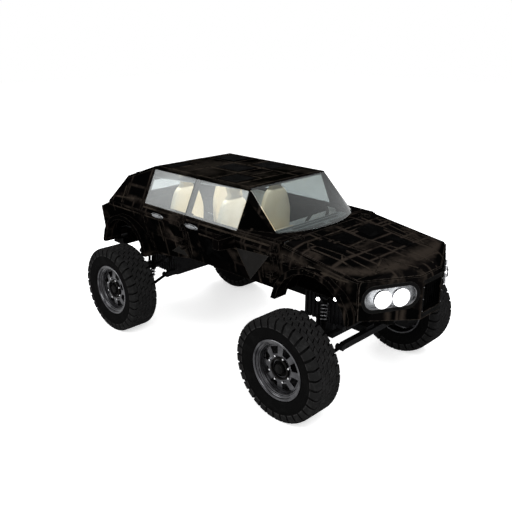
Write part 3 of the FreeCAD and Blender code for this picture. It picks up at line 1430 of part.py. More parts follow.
def make_mirrors():
    """Wing mirrors on the front doors: a stalk and a shell that tapers outward."""
    for word, side in SIDES:
        front = cabin_front + panel_gap
        high = belt_height - pillar_depth
        start = skin_at(high) - seat_gap
        skin_side = side_slab(side, (front - 2 * mirror_length, front + mirror_length), (-seat_gap, door_depth),
                              (skirt_height, belt_height))
        near, far = side * (start - pillar_depth / 2), side * (start + mirror_reach)
        rear = front - mirror_length
        plan = upright([(rear, near), (front, near), (front - mirror_taper, far), (rear + mirror_taper, far)],
                       skirt_height, roof_height)
        view = along([(near, high - mirror_height), (far, high - mirror_height + mirror_taper),
                      (far, high - mirror_taper / 2), (near, high)], rear, front)
        feature(f"wing_mirror_{word}", plan.common(view).cut(skin_side))


make_doors()
make_side_glass()
make_body_sides()
make_roof()
make_tailgate()
make_bonnet()
make_fenders()
make_nose()
make_lamps()
make_grille()
make_windscreen()
make_cowl()
make_floor()
make_chassis()
make_suspension()
make_wheels()
make_cabin()
make_mirrors()

doc.recompute()
os.makedirs("parts", exist_ok=True)
for thing in doc.Objects:
    if "Invalid" in thing.State or "Error" in thing.State:
        raise RuntimeError(f"{thing.Label} failed: {thing.State}")
for name, thing in pieces.items():
    shape = thing.Shape
    if shape.isNull() or not shape.isValid():
        raise RuntimeError(f"{name} has no valid shape")
    print(name, len(shape.Solids), round(shape.Volume / 1000.0))
    shape.exportStep(f"parts/{name}.step")
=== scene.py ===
"""Looks of a lifted off-road 4x4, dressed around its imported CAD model."""

import logging
import math
from dataclasses import dataclass
from enum import Enum

import bmesh
import bpy
from mathutils import Matrix, Vector
from mathutils.bvhtree import BVHTree


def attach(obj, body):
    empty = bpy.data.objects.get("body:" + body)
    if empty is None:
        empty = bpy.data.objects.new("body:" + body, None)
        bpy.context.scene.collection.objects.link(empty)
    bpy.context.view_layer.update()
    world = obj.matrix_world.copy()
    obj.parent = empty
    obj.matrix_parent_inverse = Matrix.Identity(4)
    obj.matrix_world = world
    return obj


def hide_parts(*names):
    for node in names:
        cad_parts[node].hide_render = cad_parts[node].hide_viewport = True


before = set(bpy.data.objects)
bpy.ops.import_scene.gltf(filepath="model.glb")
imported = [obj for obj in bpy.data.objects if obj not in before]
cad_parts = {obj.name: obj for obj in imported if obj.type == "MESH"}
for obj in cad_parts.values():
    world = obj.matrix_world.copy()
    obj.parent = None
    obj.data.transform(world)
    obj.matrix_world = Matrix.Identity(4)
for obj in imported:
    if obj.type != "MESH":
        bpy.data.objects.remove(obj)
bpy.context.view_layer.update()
LOG = logging.getLogger("off_roader")
BMesh = bmesh.types.BMesh
NodeTree = bpy.types.NodeTree
NodeSocket = bpy.types.NodeSocket
# A pair of lengths, a row of such pairs, and a place in space.
Point = tuple[float, float]
Profile = tuple[Point, ...]
Spot = tuple[float, float, float]

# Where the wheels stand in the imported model, in metres.
FRONT_AXLE = 1.3135
REAR_AXLE = -1.4085
AXLE_HEIGHT = 0.514
TRACK_HALF = 0.991
AXLES = (("front", FRONT_AXLE), ("rear", REAR_AXLE))
SIDES = (("left", 1.0), ("right", -1.0))
# Plane in which the doors and body sides bend inward, as (point, normal).
FLANK_CREASE = (((0, 0, 1.494), (0, 0, 1)),)


def linear(code: str) -> tuple[float, float, float, float]:
    """Turn an sRGB hex colour into linear RGBA.

    Args:
        code: Six hex digits after a hash.

    Returns:
        Linear red, green and blue, fully opaque.
    """
    channels = []
    for start in (1, 3, 5):
        value = int(code[start:start + 2], 16) / 255.0
        channels.append(value / 12.92 if value <= 0.04045 else ((value + 0.055) / 1.055) ** 2.4)
    return (channels[0], channels[1], channels[2], 1.0)


def add_node(tree: NodeTree, kind: str, settings: dict | None = None,
             inputs: dict | None = None) -> bpy.types.Node:
    """Add one shader node with its settings and links.

    Args:
        tree: Node tree that gets the node.
        kind: Node type after the words ShaderNode.
        settings: Properties of the node.
        inputs: Values or sockets for the node's inputs, by name or number.

    Returns:
        The new node.
    """
    node = tree.nodes.new("ShaderNode" + kind)
    for key, value in (settings or {}).items():
        setattr(node, key, value)
    for key, value in (inputs or {}).items():
        if isinstance(value, NodeSocket):
            tree.links.new(value, node.inputs[key])
        else:
            node.inputs[key].default_value = value
    return node


@dataclass(frozen=True)
class Finish:
    """A rigid finish: base colour, blotches, worn edges and grain.

    Blotch, edge and grain sizes are in millimetres on the real vehicle. An empty colour leaves its part out.
    """

    title: str
    colour: str
    roughness: float
    metallic: float = 0.0
    specular: float = 0.5
    blotch: str = ""
    blotch_mm: float = 260.0
    blotch_low: float = 0.50
    blotch_high: float = 0.64
    edge: str = ""
    edge_mm: float = 9.0
    grain_mm: float = 3.0
    grain_depth_mm: float = 0.15
    coat: float = 0.0

    def material(self) -> bpy.types.Material:
        """Make the procedural material, or return it if it is there already.

        Returns:
            The material of this finish.
        """
        known = bpy.data.materials.get(self.title)
        if known is not None:
            return known
        made = bpy.data.materials.new(self.title)
        made.use_nodes = True
        tree = made.node_tree
        tree.nodes.clear()
        shader = add_node(tree, "BsdfPrincipled", inputs={
            "Base Color": linear(self.colour), "Roughness": self.roughness, "Metallic": self.metallic,
            "Specular IOR Level": self.specular, "Coat Weight": self.coat})
        output = add_node(tree, "OutputMaterial", inputs={"Surface": shader.outputs[0]})
        output.target = "ALL"
        self.dress(tree, shader)
        return made

    def dress(self, tree: NodeTree, shader: bpy.types.Node) -> None:
        """Add the blotches, the worn edges and the grain.

        Args:
            tree: The material's node tree.
            shader: Its principled shader.
        """
        place = add_node(tree, "TexCoord").outputs["Object"]
        colour = self.ground(tree, place)
        if self.edge:
            soft = add_node(tree, "Bevel", {"samples": 4}, {"Radius": self.edge_mm / 1000.0})
            flat = add_node(tree, "NewGeometry")
            facing = add_node(tree, "VectorMath", {"operation": "DOT_PRODUCT"}, {
                0: soft.outputs[0], 1: flat.outputs["Normal"]})
            scuff = add_node(tree, "TexNoise", inputs={
                "Vector": place, "Scale": 1000.0 / (5.0 * self.edge_mm), "Detail": 5.0, "Roughness": 0.7})
            lifted = add_node(tree, "MapRange", inputs={
                "Value": facing.outputs["Value"], "From Min": 0.995, "From Max": 0.90})
            broken = add_node(tree, "MapRange", inputs={
                "Value": scuff.outputs["Fac"], "From Min": 0.36, "From Max": 0.58})
            share = add_node(tree, "Math", {"operation": "MULTIPLY"}, {
                0: lifted.outputs[0], 1: broken.outputs[0]})
            base = colour if colour is not None else linear(self.colour)
            colour = add_node(tree, "Mix", {"data_type": "RGBA"}, {
                "Factor": share.outputs[0], 6: base, 7: linear(self.edge)}).outputs[2]
        if colour is not None:
            tree.links.new(colour, shader.inputs["Base Color"])
        grit = add_node(tree, "TexNoise", inputs={
            "Vector": place, "Scale": 1000.0 / self.grain_mm, "Detail": 3.0, "Roughness": 0.6})
        rise = add_node(tree, "Bump", inputs={
            "Height": grit.outputs["Fac"], "Strength": 0.6, "Distance": self.grain_depth_mm / 1000.0})
        tree.links.new(rise.outputs[0], shader.inputs["Normal"])
        wide = add_node(tree, "TexNoise", inputs={
            "Vector": place, "Scale": 1000.0 / (0.6 * self.blotch_mm), "Detail": 4.0})
        gloss = add_node(tree, "MapRange", inputs={
            "Value": wide.outputs["Fac"], "From Min": 0.3, "From Max": 0.7,
            "To Min": max(0.02, self.roughness - 0.08), "To Max": min(1.0, self.roughness + 0.08)})
        tree.links.new(gloss.outputs[0], shader.inputs["Roughness"])

    def ground(self, tree: NodeTree, place: NodeSocket) -> NodeSocket | None:
        """Colour of the open face, with its blotches.

        Args:
            tree: The material's node tree.
            place: Position on the piece.

        Returns:
            The colour, or nothing where it is even.
        """
        if not self.blotch:
            return None
        cloud = add_node(tree, "TexNoise", inputs={
            "Vector": place, "Scale": 1000.0 / self.blotch_mm, "Detail": 7.0, "Roughness": 0.62,
            "Distortion": 0.35})
        share = add_node(tree, "MapRange", {"interpolation_type": "SMOOTHSTEP"}, {
            "Value": cloud.outputs["Fac"], "From Min": self.blotch_low, "From Max": self.blotch_high})
        return add_node(tree, "Mix", {"data_type": "RGBA"}, {
            "Factor": share.outputs[0], 6: linear(self.colour), 7: linear(self.blotch)}).outputs[2]


@dataclass(frozen=True)
class Patchwork(Finish):
    """Sprayed sheet in panels: near black, worn to the primer along seams and in patches.

    A course gives the direction across the seams, and a panel's length and height as shares of panel_mm.
    """

    wear: str = "#27221E"
    panel_mm: float = 400.0
    seam_mm: float = 46.0
    seam_low: float = 0.44
    seam_high: float = 0.60
    patch_low: float = 0.60
    patch_high: float = 0.75
    patch_tone: float = 0.22
    wander_mm: float = 45.0
    wander_depth_mm: float = 16.0
    courses: tuple[tuple[str, float, float], ...] = (("Z", 1.45, 0.62), ("Y", 1.10, 0.95))

    def seams(self, tree: NodeTree, place: NodeSocket) -> NodeSocket:
        """Share of wear on the panel seams, on upright and on level faces.

        Args:
            tree: The material's node tree.
            place: Position on the piece.

        Returns:
            One on a seam and nothing in a panel's middle.
        """
        wander = add_node(tree, "TexNoise", inputs={
            "Vector": place, "Scale": 1000.0 / self.wander_mm, "Detail": 3.0})
        shaken = add_node(tree, "VectorMath", {"operation": "MULTIPLY_ADD"}, {
            0: wander.outputs["Color"], 1: (self.wander_depth_mm / 1000.0,) * 3, 2: place})
        split = add_node(tree, "SeparateXYZ", inputs={0: shaken.outputs[0]})
        lines = []
        for across, width, row in self.courses:
            flat = add_node(tree, "CombineXYZ", inputs={0: split.outputs["X"], 1: split.outputs[across]})
            brick = add_node(tree, "TexBrick", {"offset": 0.37, "squash": 0.6, "squash_frequency": 3}, {
                "Vector": flat.outputs[0], "Scale": 1.0, "Mortar Size": self.seam_mm / 2000.0,
                "Mortar Smooth": 1.0, "Brick Width": self.panel_mm * width / 1000.0,
                "Row Height": self.panel_mm * row / 1000.0})
            lines.append(brick.outputs["Fac"])
        both = add_node(tree, "Math", {"operation": "MAXIMUM"}, {0: lines[0], 1: lines[1]})
        mask = add_node(tree, "TexNoise", inputs={
            "Vector": place, "Scale": 1000.0 / (1.2 * self.panel_mm), "Detail": 5.0, "Roughness": 0.65})
        shown = add_node(tree, "MapRange", inputs={
            "Value": mask.outputs["Fac"], "From Min": self.seam_low, "From Max": self.seam_high})
        return add_node(tree, "Math", {"operation": "MULTIPLY"}, {0: both.outputs[0], 1: shown.outputs[0]}
                        ).outputs[0]

    def ground(self, tree: NodeTree, place: NodeSocket) -> NodeSocket | None:
        """Colour of the sheet, with worn seams, worn patches and panels of unequal tone.

        Args:
            tree: The material's node tree.
            place: Position on the piece.

        Returns:
            The colour.
        """
        cell = add_node(tree, "TexVoronoi", {"distance": "CHEBYCHEV"}, {
            "Vector": place, "Scale": 1000.0 / (0.8 * self.panel_mm), "Randomness": 0.75})
        tone = add_node(tree, "SeparateColor", inputs={0: cell.outputs["Color"]})
        panel = add_node(tree, "MapRange", inputs={
            "Value": tone.outputs[0], "From Min": 0.45, "From Max": 1.0})
        base = add_node(tree, "Mix", {"data_type": "RGBA"}, {
            "Factor": panel.outputs[0], 6: linear(self.colour), 7: linear(self.blotch)})
        cloud = add_node(tree, "TexNoise", inputs={
            "Vector": place, "Scale": 1000.0 / self.blotch_mm, "Detail": 9.0, "Roughness": 0.7,
            "Distortion": 0.5})
        mixed = add_node(tree, "Math", {"operation": "MULTIPLY_ADD"}, {
            0: tone.outputs[1], 1: self.patch_tone, 2: cloud.outputs["Fac"]})
        middle = self.patch_tone / 2
        patch = add_node(tree, "MapRange", {"interpolation_type": "SMOOTHSTEP"}, {
            "Value": mixed.outputs[0], "From Min": self.patch_low + middle,
            "From Max": self.patch_high + middle, "To Max": 0.75})
        worn = add_node(tree, "Math", {"operation": "MAXIMUM"}, {
            0: self.seams(tree, place), 1: patch.outputs[0]})
        return add_node(tree, "Mix", {"data_type": "RGBA"}, {
            "Factor": worn.outputs[0], 6: base.outputs[2], 7: linear(self.wear)}).outputs[2]


@dataclass(frozen=True)
class Glass(Finish):
    """Tinted pane: lets light straight through, with a pale diffuse haze and a mirror sheen at low angles."""

    haze: float = 0.06
    haze_colour: str = "#B9BCBC"
    sheen: float = 0.025
    edge_sheen: float = 0.7
    sheen_power: float = 4.0

    def dress(self, tree: NodeTree, shader: bpy.types.Node) -> None:
        """Let light through, tinted, and lay a thin pale haze on it.

        Args:
            tree: The material's node tree.
            shader: Its principled shader.
        """
        shader.inputs["Metallic"].default_value = 1.0
        shader.inputs["Base Color"].default_value = linear("#FFFFFF")
        place = add_node(tree, "TexCoord").outputs["Object"]
        cloud = add_node(tree, "TexNoise", inputs={
            "Vector": place, "Scale": 1000.0 / self.blotch_mm, "Detail": 5.0})
        share = add_node(tree, "MapRange", inputs={
            "Value": cloud.outputs["Fac"], "From Min": 0.3, "From Max": 0.75,
            "To Min": self.haze * 0.7, "To Max": self.haze * 1.3})
        clear = add_node(tree, "BsdfTransparent", inputs={"Color": linear(self.colour)})
        haze_layer = add_node(tree, "BsdfDiffuse", inputs={"Color": linear(self.haze_colour)})
        hazed = add_node(tree, "MixShader", inputs={
            0: share.outputs[0], 1: clear.outputs[0], 2: haze_layer.outputs[0]})
        facing = add_node(tree, "LayerWeight", inputs={"Blend": 0.5})
        steep = add_node(tree, "Math", {"operation": "POWER"}, {
            0: facing.outputs["Facing"], 1: self.sheen_power})
        sheen = add_node(tree, "MapRange", inputs={
            "Value": steep.outputs[0], "To Min": self.sheen, "To Max": self.edge_sheen})
        blend = add_node(tree, "MixShader", inputs={
            0: sheen.outputs[0], 1: hazed.outputs[0], 2: shader.outputs[0]})
        output = next(node for node in tree.nodes if node.type == "OUTPUT_MATERIAL")
        tree.links.new(blend.outputs[0], output.inputs["Surface"])


@dataclass(frozen=True)
class Glow(Finish):
    """Lit lamp core, also used for glowing faces that are painted highlights."""

    strength: float = 6.0

    def dress(self, tree: NodeTree, shader: bpy.types.Node) -> None:
        """Add the light that the core gives.

        Args:
            tree: The material's node tree.
            shader: Its principled shader.
        """
        shader.inputs["Emission Color"].default_value = linear(self.colour)
        shader.inputs["Emission Strength"].default_value = self.strength


@dataclass(frozen=True)
class Woven(Finish):
    """Cloth: two crossing threads over a padded body."""

    thread_mm: float = 5.0
    nap: float = 0.25

    def dress(self, tree: NodeTree, shader: bpy.types.Node) -> None:
        """Add the weave's relief, its tone and its sheen.

        Args:
            tree: The material's node tree.
            shader: Its principled shader.
        """
        place = add_node(tree, "TexCoord").outputs["Object"]
        waves = []
        for direction in ("X", "Z"):
            wave = add_node(tree, "TexWave", {"wave_type": "BANDS", "bands_direction": direction}, {
                "Vector": place, "Scale": 1000.0 / self.thread_mm / math.tau, "Distortion": 0.6,
                "Detail": 1.0})
            waves.append(wave.outputs["Fac"])
        weave = add_node(tree, "Math", {"operation": "MAXIMUM"}, {0: waves[0], 1: waves[1]})
        cloud = add_node(tree, "TexNoise", inputs={
            "Vector": place, "Scale": 1000.0 / self.blotch_mm, "Detail": 4.0})
        share = add_node(tree, "MapRange", inputs={
            "Value": cloud.outputs["Fac"], "From Min": 0.35, "From Max": 0.7})
        colour = add_node(tree, "Mix", {"data_type": "RGBA"}, {
            "Factor": share.outputs[0], 6: linear(self.colour), 7: linear(self.blotch)})
        tree.links.new(colour.outputs[2], shader.inputs["Base Color"])
        rise = add_node(tree, "Bump", inputs={
            "Height": weave.outputs[0], "Strength": 0.5, "Distance": self.grain_depth_mm / 1000.0})
        tree.links.new(rise.outputs[0], shader.inputs["Normal"])
        shader.inputs["Sheen Weight"].default_value = self.nap


@dataclass(frozen=True)
class Spun(Finish):
    """Metal turned on a lathe: fine rings round the wheel's own line."""

    ring_mm: float = 9.0

    def dress(self, tree: NodeTree, shader: bpy.types.Node) -> None:
        """Add turning rings and uneven polish.

        Args:
            tree: The material's node tree.
            shader: Its principled shader.
        """
        ring = add_node(tree, "Attribute", {"attribute_name": "from_axis"}).outputs["Fac"]
        place = add_node(tree, "TexCoord").outputs["Object"]
        band = add_node(tree, "TexNoise", {"noise_dimensions": "1D"}, {
            "W": ring, "Scale": 1000.0 / self.ring_mm, "Detail": 3.0})
        cloud = add_node(tree, "TexNoise", inputs={
            "Vector": place, "Scale": 1000.0 / self.blotch_mm, "Detail": 5.0})
        tone = add_node(tree, "MapRange", inputs={
            "Value": cloud.outputs["Fac"], "From Min": 0.4, "From Max": 0.7})
        colour = add_node(tree, "Mix", {"data_type": "RGBA"}, {
            "Factor": tone.outputs[0], 6: linear(self.colour), 7: linear(self.blotch)})
        tree.links.new(colour.outputs[2], shader.inputs["Base Color"])
        gloss = add_node(tree, "MapRange", inputs={
            "Value": band.outputs["Fac"], "From Min": 0.3, "From Max": 0.7,
            "To Min": self.roughness - 0.08, "To Max": self.roughness + 0.1})
        tree.links.new(gloss.outputs[0], shader.inputs["Roughness"])
        rise = add_node(tree, "Bump", inputs={
            "Height": band.outputs["Fac"], "Strength": 0.4, "Distance": self.grain_depth_mm / 1000.0})
        tree.links.new(rise.outputs[0], shader.inputs["Normal"])


# Matt enamel, sprayed over steel: near black, worn to a brown-grey primer along the panel seams.
BODY_ENAMEL = Patchwork("worn_black_enamel", "#020202", 0.85, specular=0.0, blotch="#050404",
                        blotch_mm=420.0, edge="#2E2A26", edge_mm=8.0, grain_mm=2.0, grain_depth_mm=0.1)
# The same enamel on the roof, where rain washes the dust off: blacker, with fainter wear.
ROOF_ENAMEL = Patchwork("washed_black_enamel", "#010101", 0.85, specular=0.0, blotch="#030302",
                        blotch_mm=420.0, edge="#221F1C", edge_mm=8.0, grain_mm=2.0, grain_depth_mm=0.1,
                        wear="#1B1815", patch_low=0.64, patch_high=0.82)
# The same enamel on the bonnet and nose, where dust and stones have dulled far more of it.
DUSTY_ENAMEL = Patchwork("scoured_black_enamel", "#030303", 0.85, specular=0.0, blotch="#080707",
                         blotch_mm=380.0, edge="#38332E", edge_mm=9.0, grain_mm=2.0, grain_depth_mm=0.12,
                         patch_low=0.54, patch_high=0.70, seam_low=0.38, seam_high=0.50)
# Facet plates on the doors: an even charcoal, lighter than the enamel round them, with a faint sheen.
FACET_SHEET = Finish("charcoal_facet_sheet", "#171615", 0.6, specular=0.02, blotch="#1D1C1B",
                     blotch_mm=200.0, edge="#3E3A36", edge_mm=6.0, grain_mm=1.5, grain_depth_mm=0.08)
# Cover plates and grille in fresh matt enamel: blacker than all round them.
COVER_PLATE = Finish("black_cover_plate", "#010101", 0.85, specular=0.003, blotch="#050505", blotch_mm=150.0,
                     grain_mm=2.0, grain_depth_mm=0.05)
# Riveted seam strips, rubbed down to a warm brown-grey.
SEAM_STRIP = Finish("rubbed_seam_strip", "#0D0B0A", 0.85, specular=0.0, blotch="#29241F", blotch_mm=120.0,
                    blotch_low=0.38, blotch_high=0.62, edge="#3A352F", edge_mm=3.0, grain_mm=3.0,
                    grain_depth_mm=0.2)
# Moulded rubber of the tread: dull dark grey with scuffed block edges.
TREAD_RUBBER = Finish("moulded_tread_rubber", "#191919", 0.9, specular=0.005, blotch="#212121",
                      blotch_mm=60.0, edge="#313030", edge_mm=4.0, grain_mm=4.0, grain_depth_mm=0.4)
# Rubber at the foot of the grooves, almost black: painted shade standing in for the shadow down in the
# grooves.
GROOVE_SHADE_RUBBER = Finish("groove_rubber_painted_shade", "#020202", 0.95, specular=0.0, blotch="#040404", blotch_mm=60.0,
                       grain_mm=4.0, grain_depth_mm=0.2)
# Moulded rubber of the sidewall: smoother and a shade darker.
SIDEWALL_RUBBER = Finish("moulded_sidewall_rubber", "#090909", 0.85, specular=0.01, blotch="#0D0D0D",
                         blotch_mm=150.0, grain_mm=3.0, grain_depth_mm=0.2)
# Steel wheel, spun and polished: dark grey with bright turned rings.
SPUN_STEEL = Spun("spun_wheel_steel", "#525254", 0.25, metallic=1.0, blotch="#303032", blotch_mm=90.0,
                  grain_depth_mm=0.12)
# Cast iron, shot-blasted: dark, matt metal with a coarse skin.
CAST_IRON = Finish("blasted_cast_iron", "#171718", 0.7, metallic=0.0, specular=0.04, blotch="#0E0E0F",
                   blotch_mm=80.0, edge="#4A4A4C", edge_mm=3.0, grain_mm=5.0, grain_depth_mm=0.4)
# Cast face of the brake drums behind the slots, and the shafts: dull dark iron.
DRUM_IRON = Finish("dull_drum_iron", "#1F1F20", 0.7, metallic=0.4, specular=0.2, blotch="#161616",
                   blotch_mm=60.0, grain_mm=3.0, grain_depth_mm=0.2)
# Powder coat on tube and plate: satin black with a fine orange peel.
POWDER_COAT = Finish("black_powder_coat", "#030303", 0.6, specular=0.015, blotch="#0B0A0A", blotch_mm=160.0,
                     edge="#2C2A27", edge_mm=4.0, grain_mm=2.5, grain_depth_mm=0.12)
# Chromed spring wire, wheel nuts and lamp bowls: mirror bright, a little pitted.
CHROME = Finish("plated_chrome", "#D6D6D8", 0.12, metallic=1.0, blotch="#9C9C9F", blotch_mm=40.0,
                grain_mm=6.0, grain_depth_mm=0.05)
# Machined steel of the upper springs, lamp bezels and nose bolts: bright, with a soft reflection.
MACHINED_STEEL = Finish("machined_steel", "#7C7C7E", 0.34, metallic=1.0, blotch="#5A5A5C", blotch_mm=50.0,
                        grain_mm=3.0, grain_depth_mm=0.08)
# Satin aluminium of the door pulls and lamp trays: soft grey, without a clear reflection.
SATIN_ALUMINIUM = Finish("satin_aluminium", "#77797B", 0.38, metallic=0.6, blotch="#5B5D5F", blotch_mm=60.0,
                         grain_mm=2.0, grain_depth_mm=0.05)
# Grained black plastic of hub caps, boots, lamp surrounds and steering wheel: dull, paler on rubbed edges.
BLACK_PLASTIC = Finish("grained_black_plastic", "#030303", 0.6, specular=0.05, blotch="#090909",
                       blotch_mm=120.0, edge="#34312E", edge_mm=5.0, grain_mm=2.5, grain_depth_mm=0.25)
# Moulded ABS of the dash, grained: a pale cool grey, and a darker one for its slots and the seat bases.
DASH_PLASTIC = Finish("grained_grey_plastic", "#B4B9BA", 0.6, blotch="#A2A8AA", blotch_mm=260.0,
                      grain_mm=3.0, grain_depth_mm=0.3)
DASH_DARK = Finish("dark_dash_plastic", "#4A4F51", 0.55, blotch="#565C5E", blotch_mm=160.0, grain_mm=3.0,
                   grain_depth_mm=0.3)
# Pale headliner and door card: pressed felt with a cool tint.
CABIN_FELT = Finish("pressed_pale_felt", "#CDD2D5", 0.9, specular=0.1, blotch="#BEC4C8", blotch_mm=200.0,
                    grain_mm=4.0, grain_depth_mm=0.5)
# Ribbed rubber mat on the cabin floor: dull and near black.
FLOOR_MAT = Finish("ribbed_floor_mat", "#2A2B2C", 0.9, specular=0.03, blotch="#212223", blotch_mm=160.0,
                   grain_mm=6.0, grain_depth_mm=0.8)
# Cream seat cloth with a plain weave. The thread is drawn coarser than the real 1 mm, so that it shows.
SEAT_CLOTH = Woven("cream_seat_cloth", "#FBEFD6", 0.85, specular=0.2, blotch="#F3E2BF", blotch_mm=240.0,
                   grain_depth_mm=0.6)
# Laminated screen and toughened side glass: grey-tinted, with a thin diffuse haze that shows pale.
SCREEN_GLASS = Glass("laminated_screen_glass", "#C4C9C9", 0.02, blotch_mm=500.0, haze=0.05,
                     haze_colour="#7C8080")
SIDE_GLASS = Glass("toughened_side_glass", "#EDF0F0", 0.02, blotch_mm=500.0, haze=0.13,
                   haze_colour="#F4F6F6")
# Lamp lens of clear glass: all but unseen before the bowls.
LAMP_GLASS = Glass("clear_lamp_glass", "#FFFFFF", 0.02, blotch_mm=200.0, haze=0.0, sheen=0.006)
# Lit lamp behind frosted glass: even white. The rock lamps' faces glow with it too, as painted highlights
# where glints show.
LAMP_AND_GLINT_GLOW = Glow("lit_lamp_and_glint_glow", "#FFFFFF", 0.3, strength=4.0)
# Moulded acrylic of the tail lamps: deep red under a gloss.
RED_LENS = Finish("moulded_red_lens", "#5A0A0A", 0.2, specular=0.5, blotch="#430606", blotch_mm=50.0,
                  grain_mm=8.0, grain_depth_mm=0.6, coat=0.4)
# Silvered mirror glass.
MIRROR_FACE = Finish("silvered_mirror", "#D9DCDD", 0.03, metallic=1.0, grain_depth_mm=0.0)


@dataclass
class Piece:
    """A mesh under construction and how it joins the vehicle.

    Sharp is the angle in degrees past which an edge stays hard. Padded is meant as the fill of a soft piece,
    and below zero on a rigid one; nothing reads it.
    """

    name: str
    body: str
    finish: Finish
    slot: str
    replaces: tuple[str, ...] = ()
    sharp: float = 35.0
    bevel: float = 0.0
    smooth_levels: int = 0
    padded: float = -1.0
    merge: float = 1e-5
    bevel_segments: int = 2
    bevel_angle: float = 35.0

    def finish_mesh(self, mesh: BMesh, place: Matrix | None = None) -> bpy.types.Object:
        """Place the mesh, close it, dress it and hang it on its body.

        Args:
            mesh: The shape, in metres; it is freed.
            place: Where the shape goes in the vehicle's frame, if it isn't there yet.

        Returns:
            The finished object.
        """
        if place is not None:
            bmesh.ops.transform(mesh, matrix=place, verts=mesh.verts)
        bmesh.ops.remove_doubles(mesh, verts=mesh.verts, dist=self.merge)
        bmesh.ops.recalc_face_normals(mesh, faces=mesh.faces)
        data = bpy.data.meshes.new(self.name)
        mesh.to_mesh(data)
        mesh.free()
        piece = bpy.data.objects.new(self.name, data)
        bpy.context.scene.collection.objects.link(piece)
        data.materials.append(self.finish.material())
        data.shade_smooth()
        data.set_sharp_from_angle(angle=math.radians(self.sharp))
        if self.bevel > 0.0:
            rounding = piece.modifiers.new("rounded_edges", "BEVEL")
            rounding.width = self.bevel
            rounding.segments = self.bevel_segments
            rounding.limit_method = "ANGLE"
            rounding.angle_limit = math.radians(self.bevel_angle)
        if self.smooth_levels:
            soft = piece.modifiers.new("softened", "SUBSURF")
            soft.levels = self.smooth_levels
            soft.render_levels = self.smooth_levels
        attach(piece, self.body)
        if self.replaces:
            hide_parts(*self.replaces)
        LOG.info("%s: %d faces on %s", self.name, len(data.polygons), self.body)
        return piece


def add_box(mesh: BMesh, low: tuple, high: tuple) -> None:
    """Add a box between two corners.

    Args:
        mesh: Mesh that gets the box.
        low: Lowest corner.
        high: Highest corner.
    """
    centre = (Vector(low) + Vector(high)) / 2
    span = Vector(high) - Vector(low)
    verts = bmesh.ops.create_cube(mesh, size=1.0)["verts"]
    bmesh.ops.scale(mesh, vec=[abs(value) for value in span], verts=verts)
    bmesh.ops.translate(mesh, vec=centre, verts=verts)


def along_run(origin: Vector, run: Vector) -> Matrix:
    """Frame at a point with its Z axis along a run."""
    return Matrix.Translation(origin) @ run.to_track_quat("Z", "Y").to_matrix().to_4x4()


def add_rod(mesh: BMesh, start: Vector, end: Vector, radius: float, sides: int = 20,
            end_radius: float | None = None) -> None:
    """Add a round bar between two points.

    Args:
        mesh: Mesh that gets the bar.
        start: Middle of one end.
        end: Middle of the other end.
        radius: Radius at the start.
        sides: Number of sides.
        end_radius: Radius at the end, if it differs.
    """
    start, end = Vector(start), Vector(end)
    run = end - start
    last = radius if end_radius is None else end_radius
    bmesh.ops.create_cone(mesh, cap_ends=True, segments=sides, radius1=radius, radius2=last,
                          depth=run.length, matrix=along_run((start + end) / 2, run))


def spin_profile(mesh: BMesh, profile: Profile, steps: int, closed: bool = True) -> list:
    """Turn a section of (radius, offset) points about the Y axis.

    Args:
        mesh: Mesh that gets the turned shape.
        profile: Radius and offset of each point of the section.
        steps: Number of steps round.
        closed: Whether the section's ends join.

    Returns:
        The new points.
    """
    before = set(mesh.verts)
    points = [mesh.verts.new((radius, offset, 0.0)) for radius, offset in profile]
    pairs = list(zip(points, points[1:])) + ([(points[-1], points[0])] if closed else [])
    edges = [mesh.edges.new(pair) for pair in pairs]
    bmesh.ops.spin(mesh, geom=points + edges, cent=(0, 0, 0), axis=(0, 1, 0), angle=2 * math.pi,
                   steps=steps, use_merge=True, use_duplicate=False)
    return [vert for vert in mesh.verts if vert not in before]


def repeat_round(mesh: BMesh, verts: list, count: int) -> None:
    """Repeat a part of the mesh evenly round the Y axis.

    Args:
        mesh: Mesh that holds the part.
        verts: Points of the part.
        count: Number of copies, the first one included.
    """
    chosen = set(verts)
    geom = list(verts)
    geom += [edge for edge in mesh.edges if all(vert in chosen for vert in edge.verts)]
    geom += [face for face in mesh.faces if all(vert in chosen for vert in face.verts)]
    bmesh.ops.spin(mesh, geom=geom, cent=(0, 0, 0), axis=(0, 1, 0),
                   angle=2 * math.pi * (count - 1) / count, steps=count - 1, use_duplicate=True)


def add_mesh(mesh: BMesh, part: BMesh) -> None:
    """Add a copy of one mesh to another.

    Args:
        mesh: Mesh that gets the part.
        part: The part; it is kept.
    """
    data = bpy.data.meshes.new("part")
    part.to_mesh(data)
    mesh.from_mesh(data)
    bpy.data.meshes.remove(data)


@dataclass
class BlockRow:
    """One row of tread blocks: edges of its width, block length, first angle, slant and narrowing."""

    inner: float
    outer: float
    length: float
    phase: float
    skew: float
    taper: float


